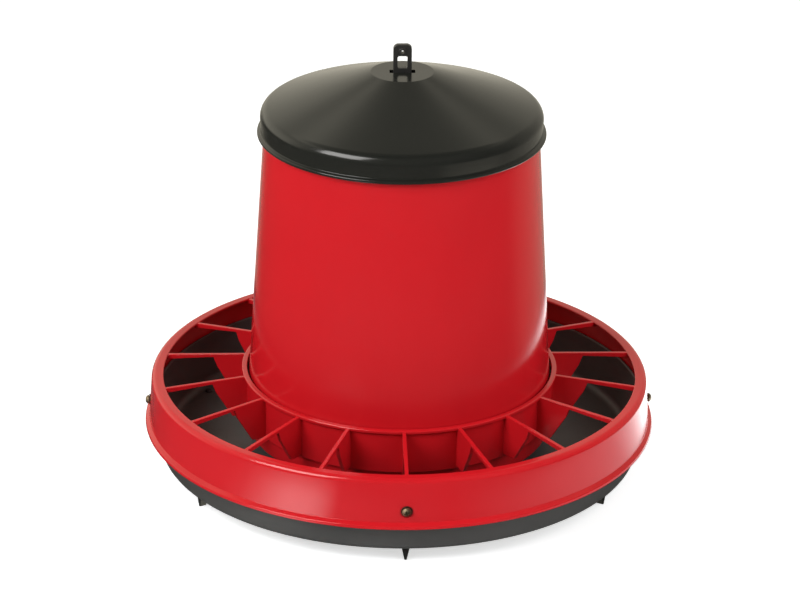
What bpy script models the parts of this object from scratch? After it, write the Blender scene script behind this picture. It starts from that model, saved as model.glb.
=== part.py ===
# Hanging or standing poultry feeder: red hopper, black lid, feed pan and anti-waste grille.
# Metres, +Z up. The origin is on the floor, under the feeder's axis. The front is towards -Y.

from math import acos, asin, cos, pi, radians, sin, tan

import bmesh
import bpy
from mathutils import Matrix, Vector

MM = 0.001

# Clearances
SEAT_GAP = 0.3 * MM          # between faces that rest on or fit into each other
SLIDE_GAP = 1.6 * MM         # hopper in the grille's collar
LID_SKIRT_GAP = 0.6 * MM     # lid skirt round the hopper, at the skirt's lower edge
STRAP_PLAY = 0.8 * MM        # strap in the bridge's slot, each side
KEY_PLAY = 0.6 * MM          # key in the strap's window, each side
LID_SLOT_PLAY_X = 2.9 * MM   # strap in the lid's slot, each side
LID_SLOT_PLAY_Y = 1.3 * MM

# Facets round a turned piece
RING_STEPS = 72
SMALL_STEPS = 16
ARC_SEGMENTS = 3
CHAMFER_LIMIT = 1.5 * MM     # a rounding smaller than this is a single chamfer
MERGE_DISTANCE = 0.00002

# Roundings of thin edges
RIM_ROUND = 0.8 * MM
SOFT_ROUND = 0.6 * MM

# Feet
FOOT_COUNT = 6
FOOT_INSET = 12 * MM         # its peg from where the pan's wall would meet its underside
FOOT_HEIGHT = 12.5 * MM
FOOT_TOP_WIDTH = 7 * MM          # along the pan's edge
FOOT_TOP_LENGTH = 8 * MM         # along the pan's radius
FOOT_TIP_WIDTH = 2 * MM
FOOT_TIP_LENGTH = 6 * MM
FOOT_EDGE_ROUND = 0.7 * MM
FOOT_SHIFT = 1 * MM              # its blade further out than its peg
FOOT_STEM_RADIUS = 2.2 * MM
FOOT_STEM_BITE = 3 * MM          # how far the peg runs down inside the blade
FOOT_HEAD_RADIUS = 3.2 * MM
FOOT_HEAD_HEIGHT = 1.8 * MM
FOOT_HEAD_TAPER = 1.2 * MM

# Pan
PAN_WALL = 2.5 * MM
PAN_RIM_RADIUS = 204.1 * MM
PAN_HEIGHT = 43.5 * MM           # from the underside to the rim
PAN_WALL_LEAN = 6.1 * MM         # how far the sloping wall runs in, down to the underside
PAN_RIM_HEIGHT = 10 * MM         # upright part of the wall, under the rim
PAN_CORNER_RADIUS = 6 * MM
PAN_FLOOR_FILLET = 8 * MM        # between the floor and the wall
CONE_BASE_RADIUS = 112 * MM
CONE_FOOT_FILLET = 14 * MM
CONE_HEIGHT = 65 * MM            # above the pan's floor
BOSS_WALL = 5.3 * MM             # beside the strap's socket
BOSS_HEIGHT = 20 * MM
BOSS_FLOOR = 3 * MM              # of the boss, under the strap's socket

# Anti-waste grille
BAND_OVERLAP = 19 * MM           # how far the band comes down outside the pan's rim
BAND_HEIGHT = 41 * MM
BAND_SLOPE = 0.066               # lean of the band's wall inwards, per height
BAND_LIP_PROUD = 3.6 * MM
BAND_LIP_HEIGHT = 2.6 * MM
BAND_STEP_HEIGHT = 2.4 * MM
BAND_LIP_DRAFT = 0.4 * MM
BAND_TOP_ROUND = 2 * MM
BAND_WALL = 2.2 * MM
FLANGE_WIDTH = 9.7 * MM
COLLAR_RISE = 5.5 * MM           # above the band
COLLAR_DEPTH = 37.5 * MM
COLLAR_WALL = 2.2 * MM
COLLAR_RIM_WIDTH = 4.4 * MM
COLLAR_RIM_HEIGHT = 3 * MM
COLLAR_RIM_ROUND = 1.2 * MM
DIVIDER_COUNT = 18
DIVIDER_THICKNESS = 3.2 * MM
DIVIDER_DEPTH = 5 * MM
DIVIDER_SINK = 0.5 * MM          # its top under the faces of the flange and the collar
DIVIDER_BITE = 1.5 * MM          # how far its straight top runs on under the flange
GUSSET_REACH = 26.4 * MM         # radial length of a divider's gusset, from the collar rim
GUSSET_MID_REACH = 23.6 * MM
GUSSET_MID_DEPTH = 13 * MM
GUSSET_FOOT_REACH = 10 * MM
GUSSET_FOOT_RISE = 2 * MM        # gusset's lower edge over the collar's lower edge

# Hopper
FEED_GAP = 15 * MM               # between the hopper and the pan's floor
HOPPER_HEIGHT = 275 * MM
HOPPER_STRAIGHT = 50 * MM        # its straight lower part, which slides in the collar
HOPPER_TOP_RADIUS = 110.4 * MM
HOPPER_BASE_RADIUS = 124.6 * MM
HOPPER_WALL = 2.2 * MM
LUG_REACH = 13 * MM
LUG_WIDTH = 18 * MM
LUG_HEIGHT = 12 * MM
LUG_SINK = 1 * MM                # how far a lug grows into the hopper wall

# Bridge across the hopper
BRIDGE_DROP = 66.7 * MM          # its underside below the hopper's top
BRIDGE_HEIGHT = 10 * MM
BRIDGE_WIDTH = 14 * MM
BRIDGE_END_GAP = 1 * MM
BRIDGE_PAD_MARGIN = 8 * MM       # of the wider middle, round the strap's slot
BRIDGE_SCREW_INSET = 7 * MM

# Strap
STRAP_WIDTH = 14.8 * MM
STRAP_THICKNESS = 5 * MM
STRAP_PROUD = 23 * MM            # above the lid's disc
STRAP_CORNER_RADIUS = 4 * MM
WINDOW_WIDTH = 8 * MM
WINDOW_HEIGHT = 10 * MM
WINDOW_CORNER_RADIUS = 1.6 * MM  # and of the key's edges, which lie in the window
WINDOW_PITCH = 15 * MM
SETTING_COUNT = 3                # heights that the hopper can be set to
HANG_WINDOW_DROP = 19.6 * MM     # its lower edge below the strap's top
EYE_DROP = 5.8 * MM              # eye's centre below the strap's top
EYE_RADIUS = 1.4 * MM
EYE_RING_RADIUS = 3.4 * MM
EYE_RING_PROUD = 0.6 * MM

# Strap pin and height key
PIN_RADIUS = 2 * MM
PIN_HEAD_RADIUS = 3.6 * MM
PIN_HEAD_HEIGHT = 1.8 * MM
PIN_CROWN_RADIUS = 2.5 * MM
PIN_RISE = 8 * MM                # pin's axis above the strap's lower end
KEY_HEIGHT = 4 * MM
KEY_REACH = 16 * MM              # either side of the strap's middle plane
KEY_GRIP_FLARE = 2.6 * MM        # how much wider the grip is than the shank, each side
KEY_GRIP_HEIGHT = 3 * MM
KEY_GRIP_LENGTH = 14 * MM
KEY_GRIP_BITE = 1 * MM           # how far the grip runs on round the shank

# Lid
LID_RISE = 35 * MM               # its disc above the hopper's top
LID_DISC_RADIUS = 25.4 * MM
LID_DISC_ROUND = 1 * MM
LID_EAVE_REACH = 3.9 * MM        # of the corner of roof and skirt, outside the hopper's top
LID_EAVE_RISE = 3.6 * MM
LID_EAVE_ROUND = 9 * MM
LID_SKIRT_DROP = 17 * MM         # below the hopper's top
LID_WALL = 1.8 * MM
LID_BEAD_HEIGHT = 3.4 * MM
LID_BEAD_PROUD = 2.7 * MM
LID_BEAD_SLOPE = 1 * MM          # fall of the bead's upper face
LID_SEAT_WIDTH = 7.4 * MM

# Grille screws
SCREW_COUNT = 4
SCREW_DROP = 4.5 * MM            # below the pan's rim
SCREW_RADIUS = 2 * MM
SCREW_HOLE_GAP = 0.3 * MM
SCREW_HEAD_RADIUS = 3.6 * MM
SCREW_HEAD_HEIGHT = 2.8 * MM
SCREW_HEAD_EDGE = 1.1 * MM       # upright edge of the domed head
SCREW_CROWN_RADIUS = 2 * MM
WASHER_RADIUS = 4.6 * MM
WASHER_THICKNESS = 0.8 * MM
SPOT_FACE_MARGIN = 0.8 * MM      # round the washer
SPOT_FACE_DEPTH = 0.3 * MM
NUT_SIDES = 6
NUT_ACROSS_FLATS = 7 * MM
NUT_THICKNESS = 3.2 * MM
SCREW_END_PROUD = 1.4 * MM

# Bridge screws
BRIDGE_SCREW_RADIUS = 1.5 * MM
BRIDGE_SCREW_HEAD_RADIUS = 3.2 * MM
BRIDGE_SCREW_HEAD_HEIGHT = 2 * MM
BRIDGE_SCREW_HEAD_EDGE = 0.8 * MM
BRIDGE_SCREW_CROWN_RADIUS = 1.9 * MM
BRIDGE_SCREW_BITE = 9 * MM       # length in the lug

# Pan, from the floor up
PAN_UNDERSIDE = FOOT_HEIGHT
PAN_FLOOR = PAN_UNDERSIDE + PAN_WALL
PAN_RIM_TOP = PAN_UNDERSIDE + PAN_HEIGHT
PAN_FOOT_RADIUS = PAN_RIM_RADIUS - PAN_WALL_LEAN
FOOT_CIRCLE_RADIUS = PAN_FOOT_RADIUS - FOOT_INSET
CONE_TOP = PAN_FLOOR + CONE_HEIGHT
BOSS_TOP = CONE_TOP + BOSS_HEIGHT
BOSS_RADIUS = STRAP_WIDTH / 2 + SEAT_GAP + BOSS_WALL
STRAP_BOTTOM = CONE_TOP + BOSS_FLOOR + SEAT_GAP

# Hopper, bridge, key and lid
HOPPER_BOTTOM = PAN_FLOOR + FEED_GAP
HOPPER_SHOULDER = HOPPER_BOTTOM + HOPPER_STRAIGHT
HOPPER_TOP = HOPPER_BOTTOM + HOPPER_HEIGHT
BRIDGE_BOTTOM = HOPPER_TOP - BRIDGE_DROP
BRIDGE_TOP = BRIDGE_BOTTOM + BRIDGE_HEIGHT
LUG_TOP = BRIDGE_BOTTOM - SEAT_GAP
KEY_TOP = BRIDGE_BOTTOM - SEAT_GAP
KEY_WIDTH = WINDOW_WIDTH - 2 * KEY_PLAY
WINDOW_START = KEY_TOP - KEY_HEIGHT - SEAT_GAP
LID_SEAT = HOPPER_TOP + SEAT_GAP
LID_TOP = HOPPER_TOP + LID_RISE
LID_BOTTOM = HOPPER_TOP - LID_SKIRT_DROP
LID_EAVE_RADIUS = HOPPER_TOP_RADIUS + LID_EAVE_REACH
STRAP_TOP = LID_TOP + STRAP_PROUD

# Grille
BAND_BOTTOM = PAN_RIM_TOP - BAND_OVERLAP
BAND_TOP = BAND_BOTTOM + BAND_HEIGHT
COLLAR_TOP = BAND_TOP + COLLAR_RISE
COLLAR_BOTTOM = COLLAR_TOP - COLLAR_DEPTH
COLLAR_INNER_RADIUS = HOPPER_BASE_RADIUS + SLIDE_GAP
COLLAR_RIM_RADIUS = COLLAR_INNER_RADIUS + COLLAR_RIM_WIDTH
SCREW_HEIGHT = PAN_RIM_TOP - SCREW_DROP


def band_radius(height):
    """Outer radius of the band's leaning wall, whose inside fits round the pan's rim."""
    return PAN_RIM_RADIUS + SEAT_GAP + BAND_WALL + (PAN_RIM_TOP - height) * BAND_SLOPE


def hopper_radius(height):
    """Outer radius of the hopper at a height."""
    if height <= HOPPER_SHOULDER:
        return HOPPER_BASE_RADIUS
    share = (height - HOPPER_SHOULDER) / (HOPPER_TOP - HOPPER_SHOULDER)
    return HOPPER_BASE_RADIUS + share * (HOPPER_TOP_RADIUS - HOPPER_BASE_RADIUS)


def clear_scene():
    for old in list(bpy.data.objects):
        bpy.data.objects.remove(old, do_unlink=True)


def make_collection(name):
    collection = bpy.data.collections.new(name)
    bpy.context.scene.collection.children.link(collection)
    return collection


def make_material(name, colour, roughness, metallic=0.0):
    material = bpy.data.materials.new(name)
    material.use_nodes = True
    shader = material.node_tree.nodes["Principled BSDF"]
    shader.inputs["Base Color"].default_value = (*colour, 1.0)
    shader.inputs["Roughness"].default_value = roughness
    shader.inputs["Metallic"].default_value = metallic
    return material


def add_part(name, mesh, material, smooth_angle=radians(35)):
    """Link a mesh as one sub-part of the feeder."""
    mesh.name = name
    mesh.materials.clear()
    mesh.materials.append(material)
    mesh.shade_smooth()
    mesh.set_sharp_from_angle(angle=smooth_angle)
    part = bpy.data.objects.new(name, mesh)
    parts.objects.link(part)
    return part


def add_helper(name, mesh):
    """Link a mesh that only shapes other pieces."""
    helper = bpy.data.objects.new(name, mesh)
    helper.hide_render = True
    helper.display_type = "WIRE"
    helpers.objects.link(helper)
    return helper


def combine(part, helper, operation):
    modifier = part.modifiers.new(helper.name, "BOOLEAN")
    modifier.operation = operation
    modifier.solver = "EXACT"
    modifier.object = helper


def mesh_from(bm, name):
    mesh = bpy.data.meshes.new(name)
    bm.to_mesh(mesh)
    bm.free()
    return mesh


def box_mesh(name, size, centre):
    bm = bmesh.new()
    place = Matrix.Translation(centre) @ Matrix.Diagonal((*size, 1.0))
    bmesh.ops.create_cube(bm, size=1.0, matrix=place)
    return mesh_from(bm, name)


def rod_mesh(name, radius, start, end, sides=SMALL_STEPS):
    """A cylinder between two points."""
    start = Vector(start)
    run = Vector(end) - start
    turn = run.to_track_quat("Z", "Y").to_matrix().to_4x4()
    bm = bmesh.new()
    bmesh.ops.create_cone(
        bm, cap_ends=True, segments=sides, radius1=radius, radius2=radius, depth=run.length,
        matrix=Matrix.Translation(start + run / 2) @ turn)
    return mesh_from(bm, name)


def joined_mesh(name, meshes_and_places):
    """Copies of meshes in one mesh, each under its own matrix."""
    bm = bmesh.new()
    for mesh, place in meshes_and_places:
        copy = mesh.copy()
        copy.transform(place)
        bm.from_mesh(copy)
        bpy.data.meshes.remove(copy)
    return mesh_from(bm, name)


def rounded(corners, closed):
    """Outline through corners, (x, y) or (x, y, radius), with an arc at each that has a radius."""
    points = []
    for index, corner in enumerate(corners):
        here = Vector(corner[:2])
        radius = corner[2] if len(corner) > 2 else 0.0
        at_end = not closed and index in (0, len(corners) - 1)
        if radius == 0.0 or at_end:
            points.append(here)
            continue
        back = (Vector(corners[index - 1][:2]) - here).normalized()
        ahead = (Vector(corners[(index + 1) % len(corners)][:2]) - here).normalized()
        half_angle = acos(max(-1.0, min(1.0, back.dot(ahead)))) / 2
        reach = radius / tan(half_angle)
        centre = here + (back + ahead).normalized() * (radius / sin(half_angle))
        arm = here + back * reach - centre
        turn = pi - 2 * half_angle
        if arm.cross(here + ahead * reach - centre) < 0:
            turn = -turn
        segments = 1 if radius < CHAMFER_LIMIT else ARC_SEGMENTS
        for step in range(segments + 1):
            angle = turn * step / segments
            across = Vector((-arm.y, arm.x))
            points.append(centre + arm * cos(angle) + across * sin(angle))
    return points


def turned_mesh(name, corners, closed, steps=RING_STEPS):
    """A profile of (radius, height) corners turned about the Z axis.

    It runs down its outer side. A closed profile makes a ring; an open one starts and ends on the axis.
    """
    outline = rounded(corners, closed)
    count = len(outline)
    edges = [(i, i + 1) for i in range(count - 1)]
    if closed:
        edges.append((count - 1, 0))
    profile = bpy.data.meshes.new(name + "_profile")
    profile.from_pydata([(p.x, 0.0, p.y) for p in outline], edges, [])
    guide = bpy.data.objects.new(name + "_profile", profile)
    bpy.context.scene.collection.objects.link(guide)
    screw = guide.modifiers.new("Screw", "SCREW")
    screw.steps = steps
    screw.render_steps = steps
    screw.use_merge_vertices = True
    screw.merge_threshold = MERGE_DISTANCE
    return settled_mesh(guide, name)


def settled_mesh(source, name):
    """The evaluated mesh of an object that isn't needed afterwards, with its seams welded."""
    bpy.context.view_layer.update()
    graph = bpy.context.evaluated_depsgraph_get()
    mesh = bpy.data.meshes.new_from_object(source.evaluated_get(graph))
    mesh.transform(source.matrix_world)
    mesh.name = name
    bm = bmesh.new()
    bm.from_mesh(mesh)
    bmesh.ops.remove_doubles(bm, verts=bm.verts, dist=MERGE_DISTANCE)
    bm.to_mesh(mesh)
    bm.free()
    bpy.data.objects.remove(source, do_unlink=True)
    return mesh


def plate_mesh(name, outlines, thickness):
    """A flat plate in the XZ plane, centred on Y, from its edge outline and those of its holes."""
    curve = bpy.data.curves.new(name + "_outline", "CURVE")
    curve.dimensions = "2D"
    curve.fill_mode = "BOTH"
    curve.extrude = thickness / 2
    for outline in outlines:
        spline = curve.splines.new("POLY")
        spline.points.add(len(outline) - 1)
        spline.use_cyclic_u = True
        for point, spot in zip(spline.points, outline):
            point.co = (spot[0], spot[1], 0.0, 1.0)
    flat = bpy.data.objects.new(name + "_outline", curve)
    bpy.context.scene.collection.objects.link(flat)
    flat.matrix_world = Matrix.Rotation(pi / 2, 4, "X")
    return settled_mesh(flat, name)


def lofted_mesh(name, low_outline, high_outline, low, high):
    """A solid between two flat outlines with the same number of points, at two heights."""
    bm = bmesh.new()
    low_ring = [bm.verts.new((spot[0], spot[1], low)) for spot in low_outline]
    high_ring = [bm.verts.new((spot[0], spot[1], high)) for spot in high_outline]
    bm.faces.new(reversed(low_ring))
    bm.faces.new(high_ring)
    for index in range(len(low_ring)):
        bm.faces.new((low_ring[index - 1], low_ring[index], high_ring[index], high_ring[index - 1]))
    return mesh_from(bm, name)


def rounded_rectangle(x_low, x_high, y_low, y_high, radius):
    corners = [(x_low, y_low), (x_high, y_low), (x_high, y_high), (x_low, y_high)]
    return rounded([(x, y, radius) for x, y in corners], True)


def circle_outline(x, y, radius, sides=SMALL_STEPS):
    turns = spread(sides)
    return [(x + radius * cos(turn), y + radius * sin(turn)) for turn in turns]


def outward(azimuth, radius=0.0, height=0.0):
    """Places a piece built along +Z so that it points away from the axis. Azimuth 0 is the front."""
    spin = Matrix.Rotation(azimuth, 4, "Z")
    return spin @ Matrix.Translation((0.0, -radius, height)) @ Matrix.Rotation(pi / 2, 4, "X")


def spread(count):
    """Angles evenly round a full turn."""
    return [2 * pi * index / count for index in range(count)]


def side_sign(side):
    return -1 if side == "left" else 1


def foot_place(turn):
    return Matrix.Rotation(turn, 4, "Z") @ Matrix.Translation((0.0, -FOOT_CIRCLE_RADIUS, 0.0))


def make_pan():
    """Feed pan with a raised cone, which spreads the feed and carries the strap."""
    slope_run = PAN_RIM_RADIUS - PAN_FOOT_RADIUS
    upright_foot = PAN_RIM_TOP - PAN_RIM_HEIGHT
    slope_rise = upright_foot - PAN_UNDERSIDE
    inner_foot = PAN_FOOT_RADIUS - PAN_WALL + slope_run * PAN_WALL / slope_rise
    cone_rise = CONE_TOP - PAN_FLOOR
    cone_run = CONE_BASE_RADIUS - BOSS_RADIUS
    drop = PAN_WALL / cos(asin(cone_rise / Vector((cone_run, cone_rise)).length))
    under_top = CONE_TOP - drop
    under_base_radius = CONE_BASE_RADIUS - (drop - PAN_WALL) * cone_run / cone_rise
    profile = [
        (0.0, BOSS_TOP),
        (BOSS_RADIUS, BOSS_TOP, RIM_ROUND),
        (BOSS_RADIUS, CONE_TOP),
        (CONE_BASE_RADIUS, PAN_FLOOR, CONE_FOOT_FILLET),
        (inner_foot, PAN_FLOOR, PAN_FLOOR_FILLET),
        (PAN_RIM_RADIUS - PAN_WALL, upright_foot),
        (PAN_RIM_RADIUS - PAN_WALL, PAN_RIM_TOP, RIM_ROUND),
        (PAN_RIM_RADIUS, PAN_RIM_TOP, RIM_ROUND),
        (PAN_RIM_RADIUS, upright_foot),
        (PAN_FOOT_RADIUS, PAN_UNDERSIDE, PAN_CORNER_RADIUS),
        (under_base_radius, PAN_UNDERSIDE),
        (BOSS_RADIUS, under_top),
        (0.0, under_top),
    ]
    pan = add_part("feed_pan", turned_mesh("feed_pan", profile, False), pan_plastic)

    socket_depth = BOSS_HEIGHT - BOSS_FLOOR
    socket_size = (STRAP_WIDTH + 2 * SEAT_GAP, STRAP_THICKNESS + 2 * SEAT_GAP, 2 * socket_depth)
    socket = box_mesh("strap_socket_cutter", socket_size, (0.0, 0.0, BOSS_TOP))
    combine(pan, add_helper("strap_socket_cutter", socket), "DIFFERENCE")

    reach = BOSS_RADIUS + PIN_HEAD_HEIGHT
    pin_height = STRAP_BOTTOM + PIN_RISE
    pin_ends = (0.0, -reach, pin_height), (0.0, reach, pin_height)
    pin_hole = rod_mesh("pin_hole_cutter", PIN_RADIUS + SEAT_GAP, *pin_ends)
    combine(pan, add_helper("pin_hole_cutter", pin_hole), "DIFFERENCE")

    hole_ends = (0.0, 0.0, 0.0), (0.0, 0.0, 2 * PAN_FLOOR)
    foot_hole = rod_mesh("foot_hole", FOOT_STEM_RADIUS + SEAT_GAP, *hole_ends)
    foot_holes = joined_mesh(
        "foot_hole_cutters", [(foot_hole, foot_place(turn)) for turn in spread(FOOT_COUNT)])
    combine(pan, add_helper("foot_hole_cutters", foot_holes), "DIFFERENCE")
    combine(pan, screw_hole_cutters, "DIFFERENCE")


def make_feet():
    """Blade-like feet, narrowing downwards, each with a peg pushed up through the pan's floor."""
    stem_top = PAN_FLOOR + SEAT_GAP
    blade_top = FOOT_HEIGHT - SEAT_GAP
    peg_profile = [
        (0.0, stem_top + FOOT_HEAD_HEIGHT),
        (FOOT_HEAD_RADIUS - FOOT_HEAD_TAPER, stem_top + FOOT_HEAD_HEIGHT),
        (FOOT_HEAD_RADIUS, stem_top),
        (FOOT_STEM_RADIUS, stem_top),
        (FOOT_STEM_RADIUS, blade_top - FOOT_STEM_BITE),
        (0.0, blade_top - FOOT_STEM_BITE),
    ]
    tip = foot_outline(FOOT_TIP_WIDTH, FOOT_TIP_LENGTH)
    top = foot_outline(FOOT_TOP_WIDTH, FOOT_TOP_LENGTH)
    blade = lofted_mesh("foot_blade", tip, top, 0.0, blade_top)
    peg = bpy.data.objects.new("foot_peg", turned_mesh("foot_peg", peg_profile, False, SMALL_STEPS))
    bpy.context.scene.collection.objects.link(peg)
    combine(peg, add_helper("foot_blade", blade), "UNION")
    foot_mesh = settled_mesh(peg, "foot")
    for number, turn in enumerate(spread(FOOT_COUNT), start=1):
        foot = add_part("foot_%d" % number, foot_mesh.copy(), black_plastic)
        foot.matrix_world = foot_place(turn)


def foot_outline(width, length):
    """Level outline of a foot's blade, in the frame of its peg."""
    near = length / 2 - FOOT_SHIFT
    return rounded_rectangle(-width / 2, width / 2, near - length, near, FOOT_EDGE_ROUND)


def make_grille():
    """Outer band with its inward lip, the collar round the hopper and the dividers between them."""
    lip_top = BAND_BOTTOM + BAND_LIP_HEIGHT
    step_top = lip_top + BAND_STEP_HEIGHT
    skirt_radius = band_radius(step_top)
    lip_radius = skirt_radius + BAND_LIP_PROUD
    inner_drop = BAND_LIP_HEIGHT / 2
    top_radius = band_radius(BAND_TOP)
    flange_radius = top_radius - FLANGE_WIDTH
    band = [
        (top_radius, BAND_TOP, BAND_TOP_ROUND),
        (skirt_radius, step_top),
        (lip_radius - BAND_LIP_DRAFT, lip_top, SOFT_ROUND),
        (lip_radius, BAND_BOTTOM, RIM_ROUND),
        (lip_radius - BAND_WALL, BAND_BOTTOM, RIM_ROUND),
        (lip_radius - BAND_WALL - BAND_LIP_DRAFT, lip_top - inner_drop),
        (skirt_radius - BAND_WALL, step_top - inner_drop),
        (band_radius(BAND_TOP - BAND_WALL) - BAND_WALL, BAND_TOP - BAND_WALL),
        (flange_radius, BAND_TOP - BAND_WALL, SOFT_ROUND),
        (flange_radius, BAND_TOP, RIM_ROUND),
    ]
    grille = add_part("anti_waste_grille", turned_mesh("anti_waste_grille", band, True), red_plastic)

    wall_radius = COLLAR_INNER_RADIUS + COLLAR_WALL
    rim_bottom = COLLAR_TOP - COLLAR_RIM_HEIGHT
    collar = [
        (COLLAR_RIM_RADIUS, COLLAR_TOP, COLLAR_RIM_ROUND),
        (COLLAR_RIM_RADIUS, rim_bottom, SOFT_ROUND),
        (wall_radius, rim_bottom),
        (wall_radius, COLLAR_BOTTOM, SOFT_ROUND),
        (COLLAR_INNER_RADIUS, COLLAR_BOTTOM, SOFT_ROUND),
        (COLLAR_INNER_RADIUS, COLLAR_TOP, SOFT_ROUND),
    ]
    collar_ring = turned_mesh("collar_ring", collar, True)
    combine(grille, add_helper("collar_ring", collar_ring), "UNION")

    inner = COLLAR_INNER_RADIUS + COLLAR_WALL / 2
    outer = top_radius - BAND_WALL / 2
    flange_line = flange_radius + DIVIDER_BITE
    inner_top = COLLAR_TOP - DIVIDER_SINK
    outer_top = BAND_TOP - DIVIDER_SINK
    gusset_top = inner_top - DIVIDER_DEPTH
    gusset_foot = COLLAR_BOTTOM + GUSSET_FOOT_RISE
    side = [
        (inner, inner_top),
        (flange_line, outer_top),
        (outer, outer_top - DIVIDER_SINK),
        (outer, outer_top - DIVIDER_DEPTH),
        (COLLAR_RIM_RADIUS + GUSSET_REACH, gusset_top),
        (COLLAR_RIM_RADIUS + GUSSET_MID_REACH, COLLAR_TOP - GUSSET_MID_DEPTH),
        (COLLAR_RIM_RADIUS + GUSSET_FOOT_REACH, gusset_foot),
        (inner, gusset_foot),
    ]
    divider = plate_mesh("divider", [side], DIVIDER_THICKNESS)
    first = Matrix.Rotation(-pi / 2, 4, "Z")
    dividers = joined_mesh(
        "dividers", [(divider, Matrix.Rotation(turn, 4, "Z") @ first) for turn in spread(DIVIDER_COUNT)])
    combine(grille, add_helper("dividers", dividers), "UNION")

    recess_ends = (0.0, 0.0, 0.0), (0.0, 0.0, lip_radius - spot_face_seat())
    recess = rod_mesh("spot_face", WASHER_RADIUS + SPOT_FACE_MARGIN, *recess_ends)
    spot_faces = joined_mesh(
        "spot_face_cutters",
        [(recess, outward(turn, spot_face_seat(), SCREW_HEIGHT)) for turn in spread(SCREW_COUNT)])
    combine(grille, add_helper("spot_face_cutters", spot_faces), "DIFFERENCE")
    combine(grille, screw_hole_cutters, "DIFFERENCE")


def spot_face_seat():
    """Distance from the axis of the flat seats that the washers lie on."""
    return band_radius(SCREW_HEIGHT) - SPOT_FACE_DEPTH


def make_screw_hole_cutters():
    """Cutters for the holes that the grille screws pass, through the band and the pan's wall."""
    inside = PAN_RIM_RADIUS - 2 * PAN_WALL
    hole_ends = (0.0, 0.0, 0.0), (0.0, 0.0, band_radius(BAND_BOTTOM) - inside)
    hole = rod_mesh("screw_hole", SCREW_RADIUS + SCREW_HOLE_GAP, *hole_ends)
    holes = joined_mesh(
        "screw_hole_cutters", [(hole, outward(turn, inside, SCREW_HEIGHT)) for turn in spread(SCREW_COUNT)])
    return add_helper("screw_hole_cutters", holes)


def make_grille_fixings():
    """A screw, a washer and a nut at each fixing of the grille to the pan."""
    washer_in = spot_face_seat() + SEAT_GAP
    head_in = washer_in + WASHER_THICKNESS + SEAT_GAP
    nut_out = PAN_RIM_RADIUS - PAN_WALL - SEAT_GAP
    shank = head_in - (nut_out - NUT_THICKNESS) + SCREW_END_PROUD
    bore = SCREW_RADIUS + SCREW_HOLE_GAP
    screw_profile = [
        (0.0, SCREW_HEAD_HEIGHT),
        (SCREW_CROWN_RADIUS, SCREW_HEAD_HEIGHT),
        (SCREW_HEAD_RADIUS, SCREW_HEAD_EDGE),
        (SCREW_HEAD_RADIUS, 0.0),
        (SCREW_RADIUS, 0.0),
        (SCREW_RADIUS, -shank),
        (0.0, -shank),
    ]
    washer_profile = [
        (WASHER_RADIUS, WASHER_THICKNESS),
        (WASHER_RADIUS, 0.0),
        (bore, 0.0),
        (bore, WASHER_THICKNESS),
    ]
    screw_mesh = turned_mesh("grille_screw", screw_profile, False, SMALL_STEPS)
    washer_mesh = turned_mesh("grille_washer", washer_profile, True, SMALL_STEPS)
    nut_outlines = [
        circle_outline(0.0, 0.0, NUT_ACROSS_FLATS / 2 / cos(pi / NUT_SIDES), NUT_SIDES),
        circle_outline(0.0, 0.0, bore),
    ]
    nut_mesh = plate_mesh("grille_nut", nut_outlines, NUT_THICKNESS)
    nut_mesh.transform(Matrix.Rotation(-pi / 2, 4, "X"))
    for side, turn in zip(("front", "right", "back", "left"), spread(SCREW_COUNT)):
        screw = add_part("grille_screw_" + side, screw_mesh.copy(), zinc)
        screw.matrix_world = outward(turn, head_in, SCREW_HEIGHT)
        washer = add_part("grille_washer_" + side, washer_mesh.copy(), dark_steel)
        washer.matrix_world = outward(turn, washer_in, SCREW_HEIGHT)
        nut = add_part("grille_nut_" + side, nut_mesh.copy(), zinc)
        nut.matrix_world = outward(turn, nut_out - NUT_THICKNESS / 2, SCREW_HEIGHT)


def make_hopper():
    """Conical shell, straight where it slides in the collar, with two lugs for the bridge."""
    profile = [
        (HOPPER_TOP_RADIUS, HOPPER_TOP, RIM_ROUND),
        (HOPPER_BASE_RADIUS, HOPPER_SHOULDER),
        (HOPPER_BASE_RADIUS, HOPPER_BOTTOM, RIM_ROUND),
        (HOPPER_BASE_RADIUS - HOPPER_WALL, HOPPER_BOTTOM, RIM_ROUND),
        (HOPPER_BASE_RADIUS - HOPPER_WALL, HOPPER_SHOULDER),
        (HOPPER_TOP_RADIUS - HOPPER_WALL, HOPPER_TOP, RIM_ROUND),
    ]
    hopper = add_part("hopper", turned_mesh("hopper", profile, True), red_plastic)
    wall_inside = hopper_radius(LUG_TOP) - HOPPER_WALL
    near = wall_inside - LUG_REACH
    far = wall_inside + LUG_SINK
    middle = (near + far) / 2
    for side in ("left", "right"):
        sign = side_sign(side)
        lug_centre = (sign * middle, 0.0, LUG_TOP - LUG_HEIGHT / 2)
        lug = box_mesh("lug_" + side, (far - near, LUG_WIDTH, LUG_HEIGHT), lug_centre)
        combine(hopper, add_helper("lug_" + side, lug), "UNION")
        x = sign * bridge_screw_x()
        pilot_ends = (x, 0.0, LUG_TOP - 2 * LUG_HEIGHT), (x, 0.0, LUG_TOP + LUG_HEIGHT)
        pilot = rod_mesh("lug_pilot_" + side, BRIDGE_SCREW_RADIUS + SEAT_GAP, *pilot_ends)
        combine(hopper, add_helper("lug_pilot_" + side, pilot), "DIFFERENCE")


def bridge_half_length():
    return hopper_radius(BRIDGE_TOP) - HOPPER_WALL - BRIDGE_END_GAP


def bridge_screw_x():
    return bridge_half_length() - BRIDGE_SCREW_INSET


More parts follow.
